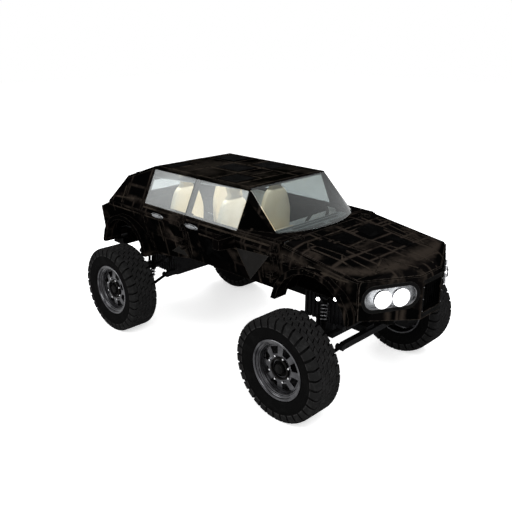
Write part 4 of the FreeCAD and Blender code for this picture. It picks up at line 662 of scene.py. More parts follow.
@dataclass
class TyreMaker:
    """Lugged off-road tyre: carcass by revolving, tread blocks by repetition.

    The root is the share of a block's height that sinks into the carcass. Sections are (radius, offset), and
    the tread line is (offset, radius).
    """

    radius: float = 0.514
    block_height: float = 0.015
    block_root: float = 0.3
    block_edge: float = 0.0025
    bends: tuple[float, ...] = (0.140, 0.152, 0.160, 0.166)
    count: int = 32
    steps: int = 96
    tread_line: Profile = ((0.0, 0.499), (0.140, 0.4985), (0.155, 0.494), (0.165, 0.478),
                           (0.1695, 0.452), (0.1705, 0.43))
    half_section: Profile = (
        (0.499, 0.0), (0.4985, 0.07), (0.4985, 0.135), (0.494, 0.146), (0.486, 0.153), (0.474, 0.158),
        (0.456, 0.1615), (0.440, 0.1635), (0.425, 0.1645), (0.421, 0.1630), (0.409, 0.1630),
        (0.405, 0.1645), (0.385, 0.1640), (0.365, 0.1615), (0.348, 0.1575), (0.342, 0.1580),
        (0.334, 0.1565), (0.326, 0.1520), (0.316, 0.1465), (0.308, 0.1430), (0.3030, 0.1390),
        (0.3018, 0.127))
    lining: Profile = ((0.4970, -0.1345), (0.4993, -0.1345), (0.4998, 0.0), (0.4993, 0.1345),
                       (0.4970, 0.1345))

    def carcass_radius(self, offset: float) -> float:
        """Radius of the carcass under the tread.

        Args:
            offset: Distance from the tyre's middle plane, of either sign.

        Returns:
            The radius there.
        """
        place = abs(offset)
        for (start, high), (end, low) in zip(self.tread_line, self.tread_line[1:]):
            if place <= end:
                return high + (low - high) * (place - start) / (end - start)
        return self.tread_line[-1][1]

    def section(self) -> Profile:
        """Mirror the half section to the closed one."""
        return self.half_section + tuple((radius, -offset) for radius, offset in self.half_section[:0:-1])

    def blocks(self, mesh: BMesh, row: BlockRow) -> None:
        """Make one row's block and repeat it round the tyre.

        Args:
            mesh: Mesh that gets the row.
            row: Size and place of the row's blocks.
        """
        verts = bmesh.ops.create_cube(mesh, size=1.0)["verts"]
        width = row.outer - row.inner
        bmesh.ops.scale(mesh, vec=(row.length, abs(width), self.block_height * (1.0 + self.block_root)),
                        verts=verts)
        bmesh.ops.translate(mesh, vec=(0.0, (row.inner + row.outer) / 2,
                                       self.block_height * (1.0 - self.block_root) / 2), verts=verts)
        chosen = set(verts)
        for bend in self.bends:
            level = math.copysign(bend, row.outer)
            if min(row.inner, row.outer) < level < max(row.inner, row.outer):
                geom = list(chosen) + [edge for edge in mesh.edges if set(edge.verts) <= chosen]
                geom += [face for face in mesh.faces if set(face.verts) <= chosen]
                made = bmesh.ops.bisect_plane(mesh, geom=geom, plane_co=(0, level, 0), plane_no=(0, 1, 0))
                chosen |= {item for item in made["geom_cut"] if isinstance(item, bmesh.types.BMVert)}
                chosen |= {item for item in made["geom"] if isinstance(item, bmesh.types.BMVert)}
        for vert in chosen:
            share = (vert.co.y - row.inner) / width
            vert.co.x = vert.co.x * (1.0 - row.taper * share) + row.skew * (share - 0.5)
        tops = [edge for edge in mesh.edges if set(edge.verts) <= chosen
                and all(vert.co.z > self.block_height * 0.9 for vert in edge.verts)
                and len(edge.link_faces) == 2 and edge.calc_face_angle(0.0) > 0.6]
        made = bmesh.ops.bevel(mesh, geom=tops, offset=self.block_edge, segments=1, profile=0.5,
                               affect="EDGES", material=-1, clamp_overlap=True)
        chosen = {vert for vert in chosen if vert.is_valid} | set(made["verts"])
        for vert in chosen:
            angle = vert.co.x / self.radius + row.phase
            reach = self.carcass_radius(vert.co.y) + vert.co.z
            vert.co = Vector((reach * math.cos(angle), vert.co.y, reach * math.sin(angle)))
        repeat_round(mesh, list(chosen), self.count)

    def rows(self) -> list[BlockRow]:
        """Lay out the six rows of the tread, the shoulders half a pitch apart.

        Returns:
            The rows from the left shoulder to the right one.
        """
        pitch = 2 * math.pi / self.count
        return [
            BlockRow(0.102, 0.1705, 0.085, 0.0, 0.016, 0.14),
            BlockRow(0.053, 0.095, 0.086, pitch * 0.28, 0.030, 0.0),
            BlockRow(0.004, 0.046, 0.086, pitch * 0.64, 0.026, 0.0),
            BlockRow(-0.004, -0.046, 0.086, pitch * 0.86, -0.026, 0.0),
            BlockRow(-0.053, -0.095, 0.086, pitch * 0.22, -0.030, 0.0),
            BlockRow(-0.102, -0.1705, 0.085, pitch * 0.5, -0.016, 0.14),
        ]

    def build(self, end: str, word: str, centre: Vector) -> None:
        """Make one tyre.

        Args:
            end: The axle's name.
            word: The side's name.
            centre: Middle of the wheel.
        """
        body, place = f"wheel_{end}_{word}", Matrix.Translation(centre)
        mesh = bmesh.new()
        spin_profile(mesh, self.section(), self.steps)
        Piece(f"tyre_carcass_{end}_{word}", body, SIDEWALL_RUBBER, "tyre", (f"tyre_{end}_{word}",), sharp=50.0
              ).finish_mesh(mesh, place)
        # The groove floor under the blocks takes the near-black painted shade of the grooves.
        mesh = bmesh.new()
        spin_profile(mesh, self.lining, self.steps)
        Piece(f"tread_grooves_{end}_{word}", body, GROOVE_SHADE_RUBBER, "tyre", sharp=50.0).finish_mesh(mesh, place)
        mesh = bmesh.new()
        for row in self.rows():
            self.blocks(mesh, row)
        Piece(f"tread_blocks_{end}_{word}", body, TREAD_RUBBER, "tyre", sharp=25.0, merge=1e-6
              ).finish_mesh(mesh, place)


@dataclass
class RimMaker:
    """Deep-dish steel wheel with eight slots, a black hub cap, its nuts and the drum behind it.

    Sections are (radius, offset). A sector of the disc is a grid of its rings and shares, and the slot is
    the cell of that grid that stays open.
    """

    slots: int = 8
    nuts: int = 8
    steps: int = 96
    barrel: Profile = (
        (0.3008, -0.140), (0.3008, 0.1395), (0.2995, 0.1455), (0.2940, 0.1485), (0.2850, 0.1478),
        (0.2775, 0.1440), (0.2745, 0.1375), (0.2735, 0.1290), (0.2700, 0.1265), (0.2590, 0.1255),
        (0.2560, 0.1225), (0.2550, 0.1130), (0.2525, 0.1100), (0.2480, 0.1085), (0.2460, 0.0960),
        (0.2430, 0.0900), (0.2425, 0.0700), (0.2550, 0.0600), (0.2820, 0.0540), (0.2870, 0.0400),
        (0.2870, -0.140))
    disc_rings: Profile = ((0.082, 0.082), (0.098, 0.084), (0.132, 0.090), (0.150, 0.092), (0.224, 0.084),
                           (0.236, 0.078), (0.2480, 0.076))
    disc_shares: tuple[float, ...] = (0.0, 0.10, 0.20, 0.80, 0.90, 1.0)
    disc_thickness: float = 0.014
    slot_cell: tuple[int, int] = (3, 2)
    slot_taper: float = 0.86
    taper_radius: float = 0.2
    hub: Profile = ((0.0, 0.040), (0.090, 0.040), (0.108, 0.080), (0.110, 0.100), (0.105, 0.108),
                    (0.096, 0.108), (0.091, 0.101), (0.086, 0.060), (0.056, 0.052), (0.053, 0.056),
                    (0.051, 0.098), (0.044, 0.112), (0.026, 0.118), (0.0, 0.119))
    drum: Profile = ((0.060, 0.012), (0.245, 0.012), (0.262, 0.002), (0.264, -0.004), (0.262, -0.040),
                     (0.250, -0.046), (0.060, -0.046))
    drum_rib: Profile = ((0.0, 0.010), (0.004, 0.020), (0.010, 0.020), (0.014, 0.010))
    drum_rib_radii: tuple[float, ...] = (0.176, 0.198, 0.220, 0.242)
    nut_circle: float = 0.128
    nut_offset: float = 0.098
    nut_height: float = 0.022
    nut_radii: Point = (0.0105, 0.0095)

    def disc(self, mesh: BMesh) -> None:
        """Add the dished disc with its slots.

        Args:
            mesh: Empty mesh that gets the disc.
        """
        sector = 2 * math.pi / self.slots
        grid = []
        for radius, offset in self.disc_rings:
            line = []
            for share in self.disc_shares:
                straight = radius > self.taper_radius or share in (0.0, 1.0)
                angle = sector * (0.5 + (share - 0.5) * (1.0 if straight else self.slot_taper))
                line.append(mesh.verts.new((radius * math.cos(angle), offset, radius * math.sin(angle))))
            grid.append(line)
        for row, (inner, outer) in enumerate(zip(grid, grid[1:])):
            for column in range(len(inner) - 1):
                if (row, column) != self.slot_cell:
                    mesh.faces.new((inner[column], inner[column + 1], outer[column + 1], outer[column]))
        repeat_round(mesh, [vert for line in grid for vert in line], self.slots)
        bmesh.ops.remove_doubles(mesh, verts=mesh.verts, dist=1e-5)
        bmesh.ops.recalc_face_normals(mesh, faces=mesh.faces)
        bmesh.ops.solidify(mesh, geom=mesh.faces, thickness=self.disc_thickness)

    def build(self, end: str, word: str, side: float, centre: Vector) -> None:
        """Make one wheel.

        Args:
            end: The axle's name.
            word: The side's name.
            side: The side's sign.
            centre: Middle of the wheel.
        """
        body = f"wheel_{end}_{word}"
        place = Matrix.Translation(centre) @ Matrix.Diagonal((1.0, side, 1.0, 1.0))
        mesh, dish = bmesh.new(), bmesh.new()
        spin_profile(mesh, self.barrel, self.steps)
        self.disc(dish)
        add_mesh(mesh, dish)
        dish.free()
        wheel = Piece(f"spun_wheel_{end}_{word}", body, SPUN_STEEL, "rim_steel", (f"rim_{end}_{word}",),
                      sharp=30.0).finish_mesh(mesh, place)
        reach = wheel.data.attributes.new("from_axis", "FLOAT", "POINT")
        for item, vert in zip(reach.data, wheel.data.vertices):
            away = vert.co - centre
            item.value = math.hypot(away.x, away.z)
        mesh = bmesh.new()
        spin_profile(mesh, self.hub, self.steps // 2, closed=False)
        Piece(f"hub_cap_{end}_{word}", body, BLACK_PLASTIC, "trim_black", sharp=30.0).finish_mesh(mesh, place)
        mesh = bmesh.new()
        spin_profile(mesh, self.drum, self.steps)
        for radius in self.drum_rib_radii:
            rib = tuple((radius + width, offset) for width, offset in self.drum_rib)
            spin_profile(mesh, rib, self.steps)
        Piece(f"brake_drum_{end}_{word}", body, DRUM_IRON, "rib_metal", sharp=30.0).finish_mesh(mesh, place)
        mesh = bmesh.new()
        seat = Matrix.Translation((self.nut_circle, self.nut_offset, 0.0))
        verts = bmesh.ops.create_cone(
            mesh, cap_ends=True, segments=6, radius1=self.nut_radii[0], radius2=self.nut_radii[1],
            depth=self.nut_height, matrix=seat @ Matrix.Rotation(-math.pi / 2, 4, "X"))["verts"]
        bmesh.ops.rotate(mesh, cent=(0, 0, 0), verts=verts,
                         matrix=Matrix.Rotation(math.pi / self.slots, 3, "Y"))
        repeat_round(mesh, verts, self.nuts)
        Piece(f"wheel_nuts_{end}_{word}", body, CHROME, "spring_chrome", sharp=20.0).finish_mesh(mesh, place)


@dataclass
class Wheels:
    """The four wheels with their tyres."""

    def build(self) -> None:
        """Make every wheel at its hub."""
        for end, axle in AXLES:
            for word, side in SIDES:
                centre = Vector((axle, side * TRACK_HALF, AXLE_HEIGHT))
                TyreMaker().build(end, word, centre)
                RimMaker().build(end, word, side, centre)


@dataclass
class CoilOvers:
    """Dampers with their springs, two to each axle."""

    top_advance: float = 0.045
    foot_advance: float = 0.085
    top_offset: float = 0.500
    foot_offset: float = 0.590
    top_height: float = 1.0556
    foot_height: float = 0.5326
    wire: float = 0.0068
    coil: float = 0.033
    turn_steps: int = 28

    def spring(self, mesh: BMesh, start: float, length: float, turns: float) -> None:
        """Add a helical spring along Z.

        Args:
            mesh: Empty mesh that gets the spring.
            start: Height of its first turn.
            length: Distance from its first turn to its last.
            turns: Number of turns.
        """
        ring = bmesh.ops.create_circle(mesh, cap_ends=False, segments=10, radius=self.wire,
                                       matrix=Matrix.Rotation(math.pi / 2, 4, "X"))["verts"]
        bmesh.ops.translate(mesh, vec=(self.coil, 0.0, start), verts=ring)
        steps = int(turns * self.turn_steps)
        edges = [edge for edge in mesh.edges if edge.verts[0] in ring and edge.verts[1] in ring]
        bmesh.ops.spin(mesh, geom=list(ring) + edges, cent=(0, 0, 0), axis=(0, 0, 1),
                       dvec=(0, 0, length / steps), angle=2 * math.pi * turns, steps=steps,
                       use_merge=False, use_duplicate=False)
        rims = [edge for edge in mesh.edges if len(edge.link_faces) == 1]
        bmesh.ops.holes_fill(mesh, edges=rims, sides=0)

    def damper(self, mesh: BMesh, length: float) -> None:
        """Add a damper along Z: body, collars and rod, then the foot's eye and the reservoir.

        A stage is (start, end, radius, end radius).

        Args:
            mesh: Mesh that gets the damper.
            length: Distance from its foot to its top.
        """
        stages = ((0.0, 0.03, 0.018, 0.018), (0.03, 0.16, 0.0215, 0.0215), (0.16, 0.175, 0.036, 0.036),
                  (0.175, 0.30, 0.0215, 0.0215), (0.30, 0.325, 0.030, 0.026),
                  (0.325, length - 0.02, 0.012, 0.012), (length - 0.035, length - 0.012, 0.036, 0.036),
                  (length - 0.012, length, 0.015, 0.015))
        for low, high, radius, last in stages:
            add_rod(mesh, Vector((0, 0, low)), Vector((0, 0, high)), radius, 24, last)
        add_rod(mesh, Vector((-0.024, 0, 0.0)), Vector((0.024, 0, 0.0)), radius=0.014)
        add_rod(mesh, Vector((0.050, 0.0, 0.19)), Vector((0.050, 0.0, 0.36)), radius=0.016)

    def build(self) -> None:
        """Make the four coil-overs, each as a damper and two springs."""
        replaced = ("coilovers",)
        for end, axle in AXLES:
            for word, side in SIDES:
                top = Vector((axle + self.top_advance, side * self.top_offset, self.top_height))
                foot = Vector((axle + self.foot_advance, side * self.foot_offset, self.foot_height))
                run = top - foot
                length = run.length
                place = along_run(foot, run)
                mesh = bmesh.new()
                self.damper(mesh, length)
                Piece(f"damper_{end}_{word}", "body", POWDER_COAT, "frame_black", replaced
                      ).finish_mesh(mesh, place)
                replaced = ()
                for name, start, span, turns, finish, slot in (
                        ("upper", 0.325, length - 0.36, 5.0, MACHINED_STEEL, "bare_steel"),
                        ("lower", 0.032, 0.115, 3.2, CHROME, "spring_chrome")):
                    mesh = bmesh.new()
                    self.spring(mesh, start, span, turns)
                    Piece(f"{name}_spring_{end}_{word}", "body", finish, slot, sharp=60.0
                          ).finish_mesh(mesh, place)


@dataclass
class Shafts:
    """Half shafts with their bellows boots, and the prop shaft with its collars."""

    inner_height: float = 0.690
    inner_offsets: Point = (0.478, 0.368)
    outer_offset: float = 0.730
    radius: float = 0.0175
    folds: int = 8
    fold_length: float = 0.0068
    fold_radii: Point = (0.0265, 0.0185)
    prop_height: float = 0.932
    prop_ends: Point = (-1.143, 1.047)
    prop_radius: float = 0.034
    collars: tuple[float, ...] = (-1.13, -0.14, 0.0, 1.03)
    collar_half: float = 0.012
    collar_radius: float = 0.0375

    def bellows(self, mesh: BMesh, spot: Vector, side: float) -> None:
        """Add one boot, a stack of rings that swell and narrow in turn.

        Args:
            mesh: Mesh that gets the boot.
            spot: Middle of the boot.
            side: The side's sign.
        """
        for index in range(self.folds):
            start = spot + Vector((0.0, side * (index - self.folds // 2) * self.fold_length, 0.0))
            first, last = self.fold_radii if index % 2 else self.fold_radii[::-1]
            add_rod(mesh, start, start + Vector((0.0, side * self.fold_length, 0.0)), first, 24, last)

    def prop(self, mesh: BMesh, start: float, end: float, radius: float) -> None:
        """Add one length of the prop shaft.

        Args:
            mesh: Mesh that gets the length.
            start: Station of its rear end.
            end: Station of its front end.
            radius: Its radius.
        """
        height = self.prop_height
        add_rod(mesh, Vector((start, 0.0, height)), Vector((end, 0.0, height)), radius, 28)

    def build(self) -> None:
        """Make the four half shafts and the prop shaft."""
        rods, boots = bmesh.new(), bmesh.new()
        for (_, axle), inner_offset in zip(AXLES, self.inner_offsets):
            for _, side in SIDES:
                inner = Vector((axle, side * inner_offset, self.inner_height))
                outer = Vector((axle, side * self.outer_offset, AXLE_HEIGHT))
                add_rod(rods, inner, outer, self.radius)
                for spot in (inner, outer):
                    self.bellows(boots, spot, side)
        self.prop(rods, *self.prop_ends, self.prop_radius)
        for station in self.collars:
            self.prop(rods, station - self.collar_half, station + self.collar_half, self.collar_radius)
        Piece("shaft_rods", "body", DRUM_IRON, "bare_steel", ("drive_shafts",), sharp=40.0).finish_mesh(rods)
        Piece("shaft_boots", "body", BLACK_PLASTIC, "trim_black", sharp=40.0).finish_mesh(boots)


@dataclass
class Arms:
    """Round A-arms with their ball joints, bushes and crossbars.

    Offsets are measured from the vehicle's middle plane, and spreads from the axle's line to a leg.
    """

    inner_heights: Point = (0.800, 0.600)
    ball_lift: float = 0.1383
    ball_offset: float = 0.790
    neck_offset: float = 0.728
    bar_offset: float = 0.590
    pivot_offset: float = 0.486
    neck_spread: float = 0.042
    pivot_spread: float = 0.230
    leg_radius: float = 0.0178
    bar_radius: float = 0.0148
    neck_radius: float = 0.0215
    neck_half: float = 0.060
    tongue: Point = (0.017, 0.011)
    ball_radius: float = 0.0295
    ball_half: float = 0.018
    bush_radius: float = 0.0288
    bush_half: float = 0.040
    bolt_radius: float = 0.0145
    bolt_head: float = 0.006
    bolt_stations: Point = (-0.042, 0.036)

    def outer_end(self, tubes: BMesh, joints: BMesh, ball: Vector, neck: float) -> None:
        """Add an arm's ball joint, its cap, and the neck and tongue that hold it.

        Args:
            tubes: Mesh that gets the neck and tongue.
            joints: Mesh that gets the ball joint.
            ball: Middle of the ball.
            neck: The neck's place across the vehicle.
        """
        rise = Vector((0, 0, self.ball_half))
        add_rod(joints, ball - rise, ball + rise, self.ball_radius, 28)
        add_rod(joints, ball + Vector((0, 0, 0.016)), ball + Vector((0, 0, 0.024)), 0.018, 24, 0.012)
        add_rod(tubes, Vector((ball.x - self.neck_half, neck, ball.z)),
                Vector((ball.x + self.neck_half, neck, ball.z)), self.neck_radius, 24)
        half_width, half_height = self.tongue
        add_box(tubes, (ball.x - half_width, min(neck, ball.y), ball.z - half_height),
                (ball.x + half_width, max(neck, ball.y), ball.z + half_height))

    def leg(self, tubes: BMesh, joints: BMesh, pivot: Vector, neck: Vector) -> None:
        """Add one leg of an arm with its bush and the bolt through it.

        Args:
            tubes: Mesh that gets the leg.
            joints: Mesh that gets the bush and bolt.
            pivot: Middle of the bush.
            neck: Where the leg meets the neck.
        """
        add_rod(tubes, pivot, neck, self.leg_radius, 24)
        half = Vector((self.bush_half, 0, 0))
        add_rod(joints, pivot - half, pivot + half, self.bush_radius, 28)
        for station in self.bolt_stations:
            add_rod(joints, pivot + Vector((station, 0, 0)), pivot + Vector((station + self.bolt_head, 0, 0)),
                    self.bolt_radius, 6)

    def build(self) -> None:
        """Make the eight arms. Only the lower ones have a crossbar."""
        tubes, joints = bmesh.new(), bmesh.new()
        share = (self.bar_offset - self.pivot_offset) / (self.neck_offset - self.pivot_offset)
        spread = self.pivot_spread + (self.neck_spread - self.pivot_spread) * share
        for _, axle in AXLES:
            for _, side in SIDES:
                for height, lift in zip(self.inner_heights, (1, -1)):
                    ball = Vector((axle, side * self.ball_offset, AXLE_HEIGHT + lift * self.ball_lift))
                    neck = side * self.neck_offset
                    self.outer_end(tubes, joints, ball, neck)
                    for end in (1, -1):
                        pivot = Vector((axle + end * self.pivot_spread, side * self.pivot_offset, height))
                        self.leg(tubes, joints, pivot, Vector((axle + end * self.neck_spread, neck, ball.z)))
                    if lift < 0:
                        bar = Vector((axle, side * self.bar_offset, height + (ball.z - height) * share))
                        half = Vector((spread, 0, 0))
                        add_rod(tubes, bar - half, bar + half, self.bar_radius, 24)
        Piece("arm_tubes", "body", POWDER_COAT, "frame_black", ("suspension_arms",)).finish_mesh(tubes)
        Piece("arm_joints", "body", CAST_IRON, "frame_black").finish_mesh(joints)


@dataclass
class Drape:
    """Lays plates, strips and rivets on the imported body's skin."""

    lift: float = 0.0006
    start_back: float = 0.02
    strip_stagger: float = 0.00025
    head_root: float = 0.002
    head_rise: float = 0.0055
    head_crown: float = 0.55

    def tree(self, node: str) -> BVHTree:
        """Make a search tree over the skin of a CAD node.

        Args:
            node: Name of the node.

        Returns:
            The tree over its faces.
        """
        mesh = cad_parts[node].data
        return BVHTree.FromPolygons([vert.co.copy() for vert in mesh.vertices],
                                    [list(face.vertices) for face in mesh.polygons])

    def settle(self, mesh: BMesh, part: BMesh, tree: BVHTree, way: Vector,
               reach: float, thickness: float) -> None:
        """Press a flat part on the skin, thicken it outward and add it to the mesh.

        Args:
            mesh: Mesh that gets the plate.
            part: The flat part, outside the skin; it is freed.
            tree: Search tree of the skin.
            way: Direction in which the part is pressed.
            reach: Farthest distance from part to skin.
            thickness: Thickness of the plate.
        """
        missed = []
        for vert in part.verts:
            spot, _, _, _ = tree.ray_cast(vert.co - way * self.start_back, way, reach)
            if spot is None:
                missed.append(vert)
                continue
            vert.co = spot - way * self.lift
        if missed:
            bmesh.ops.delete(part, geom=missed, context="VERTS")
        if part.faces:
            bmesh.ops.recalc_face_normals(part, faces=part.faces)
            if sum(face.normal.dot(way) for face in part.faces) > 0:
                bmesh.ops.reverse_faces(part, faces=part.faces)
            made = bmesh.ops.extrude_face_region(part, geom=part.faces[:])
            lifted = [item for item in made["geom"] if isinstance(item, bmesh.types.BMVert)]
            bmesh.ops.translate(part, vec=-way * thickness, verts=lifted)
            add_mesh(mesh, part)
        part.free()

    def plate(self, mesh: BMesh, tree: BVHTree, outline: list[Spot], toward: Spot,
              creases: tuple = (), reach: float = 0.6, thickness: float = 0.0035) -> None:
        """Press one plate on the skin.

        Args:
            mesh: Mesh that gets the plate.
            tree: Search tree of the skin.
            outline: Corners, outside the skin, in metres.
            toward: Direction in which it is pressed.
            creases: Planes as (point, normal) where the skin bends.
            reach: Farthest distance from outline to skin.
            thickness: Thickness of the plate.
        """
        part = bmesh.new()
        part.faces.new([part.verts.new(corner) for corner in outline])
        for point, normal in creases:
            bmesh.ops.bisect_plane(part, geom=part.verts[:] + part.edges[:] + part.faces[:],
                                   plane_co=point, plane_no=normal)
        self.settle(mesh, part, tree, Vector(toward).normalized(), reach, thickness)

    def strip(self, mesh: BMesh, tree: BVHTree, points: list[Spot], toward: Spot,
              width: float = 0.018, thickness: float = 0.002, reach: float = 0.6, step: float = 0.05) -> None:
        """Press a chain of narrow strips on the skin.

        Args:
            mesh: Mesh that gets the strips.
            tree: Search tree of the skin.
            points: Corners of the chain, outside the skin, in metres.
            toward: Direction in which they are pressed.
            width: Width of a strip.
            thickness: Thickness of a strip.
            reach: Farthest distance from strip to skin.
            step: Longest cell of a strip.
        """
        way = Vector(toward).normalized()
        for index, (start, end) in enumerate(zip(points, points[1:])):
            start, end = Vector(start), Vector(end)
            run = end - start
            along = run.normalized()
            across = way.cross(along).normalized()
            turn = Matrix((along, across, along.cross(across))).transposed().to_4x4()
            part = bmesh.new()
            bmesh.ops.create_grid(
                part, x_segments=max(1, round(run.length / step)), y_segments=1, size=0.5,
                matrix=Matrix.Translation((start + end) / 2) @ turn
                @ Matrix.Diagonal((run.length + width, width, 1.0, 1.0)))
            self.settle(mesh, part, tree, way, reach, thickness + self.strip_stagger * (index % 3))

    def rivets(self, mesh: BMesh, tree: BVHTree, points: list[Spot], toward: Spot,
               spacing: float = 0.07, radius: float = 0.0055, reach: float = 0.6) -> None:
        """Set a row of rivet heads along a chain of points.

        Args:
            mesh: Mesh that gets the heads.
            tree: Search tree of the skin.
            points: Corners of the chain, outside the skin, in metres.
            toward: Direction in which they are set.
            spacing: Distance between two heads.
            radius: Radius of a head.
            reach: Farthest distance from chain to skin.
        """
        way = Vector(toward).normalized()
        for start, end in zip(points, points[1:]):
            start, end = Vector(start), Vector(end)
            count = max(1, round((end - start).length / spacing))
            for index in range(count):
                place = start.lerp(end, (index + 0.5) / count)
                spot, normal, _, _ = tree.ray_cast(place - way * self.start_back, way, reach)
                if spot is None:
                    continue
                if normal.dot(way) > 0:
                    normal = -normal
                add_rod(mesh, spot - normal * self.head_root, spot + normal * self.head_rise, radius, 8,
                        radius * self.head_crown)


@dataclass(frozen=True)
class Trim:
    """What is laid on one skin, in millimetres along it.

    Plates and facets are outlines, strips and rivets are chains. Riveted names the strips, by number, that
    have a row of rivets along them as well.
    """

    plates: tuple[Profile, ...] = ()
    facets: tuple[Profile, ...] = ()
    strips: tuple[Profile, ...] = ()
    riveted: tuple[int, ...] = ()
    rivets: tuple[Profile, ...] = ()
    width: float = 0.016


@dataclass
class Panels:
    """Cover plates, facets, riveted seam strips and bolts on one body's skin."""

    name: str
    body: str
    node: str
    toward: Spot
    creases: tuple = ()
    above: float = 2.05
    beside: float = 1.0
    reach: float = 1.2

    def place(self, chain: Profile) -> list[Spot]:
        """Lift points off the skin, to where they are pressed on it from.

        Args:
            chain: Points in millimetres: station and offset from above, station and height from a side.

        Returns:
            The points in metres, above or beside the vehicle.
        """
        if self.toward[2] < -0.5:
            return [(x / 1000.0, y / 1000.0, self.above) for x, y in chain]
        y = math.copysign(self.beside, -self.toward[1])
        return [(x / 1000.0, y, z / 1000.0) for x, z in chain]

    def build(self, trim: Trim) -> None:
        """Make the pieces.

        Args:
            trim: What is laid on the skin.
        """
        drape = Drape()
        tree = drape.tree(self.node)
        for kind, items, finish in (("plates", trim.plates, COVER_PLATE),
                                    ("facets", trim.facets, FACET_SHEET)):
            if items:
                mesh = bmesh.new()
                for item in items:
                    drape.plate(mesh, tree, self.place(item), self.toward, self.creases, self.reach)
                Piece(f"{self.name}_{kind}", self.body, finish, "body_black", bevel=0.0012, sharp=20.0
                      ).finish_mesh(mesh)
        mesh = bmesh.new()
        for item in trim.strips:
            drape.strip(mesh, tree, self.place(item), self.toward, trim.width, reach=self.reach)
        Piece(f"{self.name}_seams", self.body, SEAM_STRIP, "body_black", sharp=20.0).finish_mesh(mesh)
        mesh = bmesh.new()
        for item in (*(trim.strips[index] for index in trim.riveted), *trim.rivets):
            drape.rivets(mesh, tree, self.place(item), self.toward, reach=self.reach)
        Piece(f"{self.name}_rivets", self.body, SEAM_STRIP, "body_black", sharp=30.0).finish_mesh(mesh)


@dataclass
class BodyPanels:
    """All the plates and seams of roof, bonnet, doors, rear quarters and fenders."""

    roof: Trim = Trim(
        plates=(((-1040, -510), (-1040, -230), (-905, -230), (-905, -510)),
                ((-590, -130), (-590, 140), (-230, 140), (-230, -130)),
                ((-130, -520), (-130, -230), (150, -230), (150, -520)),
                ((-370, 240), (-370, 510), (-60, 510), (-60, 240)),
                ((-1510, -130), (-1510, 130), (-1150, 130), (-1150, -130)),
                ((-1030, 240), (-1030, 520), (-700, 520), (-700, 240))),
        strips=(((-1560, -600), (-1560, 600)), ((-1090, -600), (-1090, 600)), ((-640, -600), (-640, 600)),
                ((-180, -600), (-180, 600)), ((200, -600), (200, 600)), ((380, -600), (380, 600)),
                ((-1560, -560), (380, -560)), ((-1560, 560), (380, 560)), ((-1560, -180), (200, -180)),
                ((-1090, 190), (380, 190)), ((-860, -560), (-860, -180)), ((-420, 190), (-420, 560)),
                ((10, -180), (10, 190))),
        riveted=(0, 1, 2, 3, 4, 5, 6, 7), width=0.018)
    bonnet: Trim = Trim(
        plates=(((1217, 106), (1187, 375), (1344, 416), (1440, 288), (1422, 89)),
                ((1190, -296), (1192, -144), (1216, -28), (1405, -37), (1409, -245)),
                ((1240, -560), (1195, -380), (1470, -330), (1500, -440)),
                ((1500, 180), (1520, 330), (1760, 330), (1780, 210))),
        strips=(((1060, 20), (1432, 7), (1898, 128), (2140, 100)),
                ((1060, 440), (1470, 410), (1916, 400)),
                ((1432, 7), (1450, -300), (1781, -245), (2120, -120)),
                ((1060, -330), (1450, -300)),
                ((1781, -245), (1943, -340), (1919, -540), (1781, -245)),
                ((1150, -600), (1150, 600)),
                ((1174, -560), (1229, -630), (1605, -600), (1526, -500), (1174, -560)),
                ((1174, 560), (1229, 630), (1605, 600), (1526, 500), (1174, 560)),
                ((1605, -600), (1862, -640)), ((1605, 600), (1862, 640)),
                ((1526, -500), (1919, -540)), ((1526, 500), (1916, 400))),
        riveted=(0, 1, 2, 5))
    front_door: Trim = Trim(
        plates=(((-180, 1405), (240, 1405), (360, 1200), (-60, 1180)),),
        facets=(((441, 1409), (922, 1452), (562, 1088)),
                ((-372, 1336), (-358, 1340), (-225, 1082), (-372, 1082))),
        strips=(((-340, 1540), (930, 1540)), ((-130, 1430), (280, 1430), (430, 1395)),
                ((441, 1409), (562, 1088)), ((700, 1500), (700, 1440), (930, 1440)),
                ((930, 1360), (780, 1345), (760, 1180)), ((-330, 1150), (-330, 1400))),
        riveted=(0,), rivets=(((905, 1500), (905, 1180)),))
    rear_door: Trim = Trim(
        plates=(((-700, 1440), (-440, 1440), (-440, 1300), (-600, 1300)),),
        facets=(((-716, 1082), (-512, 1211), (-428, 1082)),),
        strips=(((-1120, 1540), (-420, 1540)), ((-1100, 1440), (-760, 1440), (-760, 1290)),
                ((-760, 1290), (-440, 1290)), ((-840, 1440), (-840, 1180)), ((-450, 1500), (-450, 1130))),
        riveted=(0,))
    quarter: Trim = Trim(
        plates=(((455, 1625), (745, 1612), (440, 1860)),
                ((-1960, 1500), (-1790, 1650), (-1640, 1650), (-1640, 1500))),
        strips=(((-1990, 1440), (-1200, 1440)), ((-1560, 1440), (-1560, 1700)),
                ((-1740, 1380), (-1740, 1560), (-1200, 1600))),
        riveted=(0,))
    fender: Trim = Trim(
        strips=(((985, 1480), (1800, 1420)), ((1120, 1500), (1120, 1440), (985, 1400)),
                ((1480, 1490), (1480, 1440))),
        rivets=(((985, 1455), (1800, 1395)),), width=0.014)

    def build(self) -> None:
        """Lay every panel."""
        Panels("roof", "body", "roof_panel", (0, 0, -1)).build(self.roof)
        Panels("bonnet", "bonnet_body", "bonnet", (0, 0, -1)).build(self.bonnet)
        for word, side in SIDES:
            for name, body, node, creases, trim in (
                    ("front_door", f"front_door_body_{word}", "front_door", FLANK_CREASE, self.front_door),
                    ("rear_door", f"rear_door_body_{word}", "rear_door", FLANK_CREASE, self.rear_door),
                    ("quarter", "body", "body_side", FLANK_CREASE, self.quarter),
                    ("fender", "body", "front_fender", (), self.fender)):
                Panels(f"{name}_{word}", body, f"{node}_{word}", (0, -side, 0), creases).build(trim)


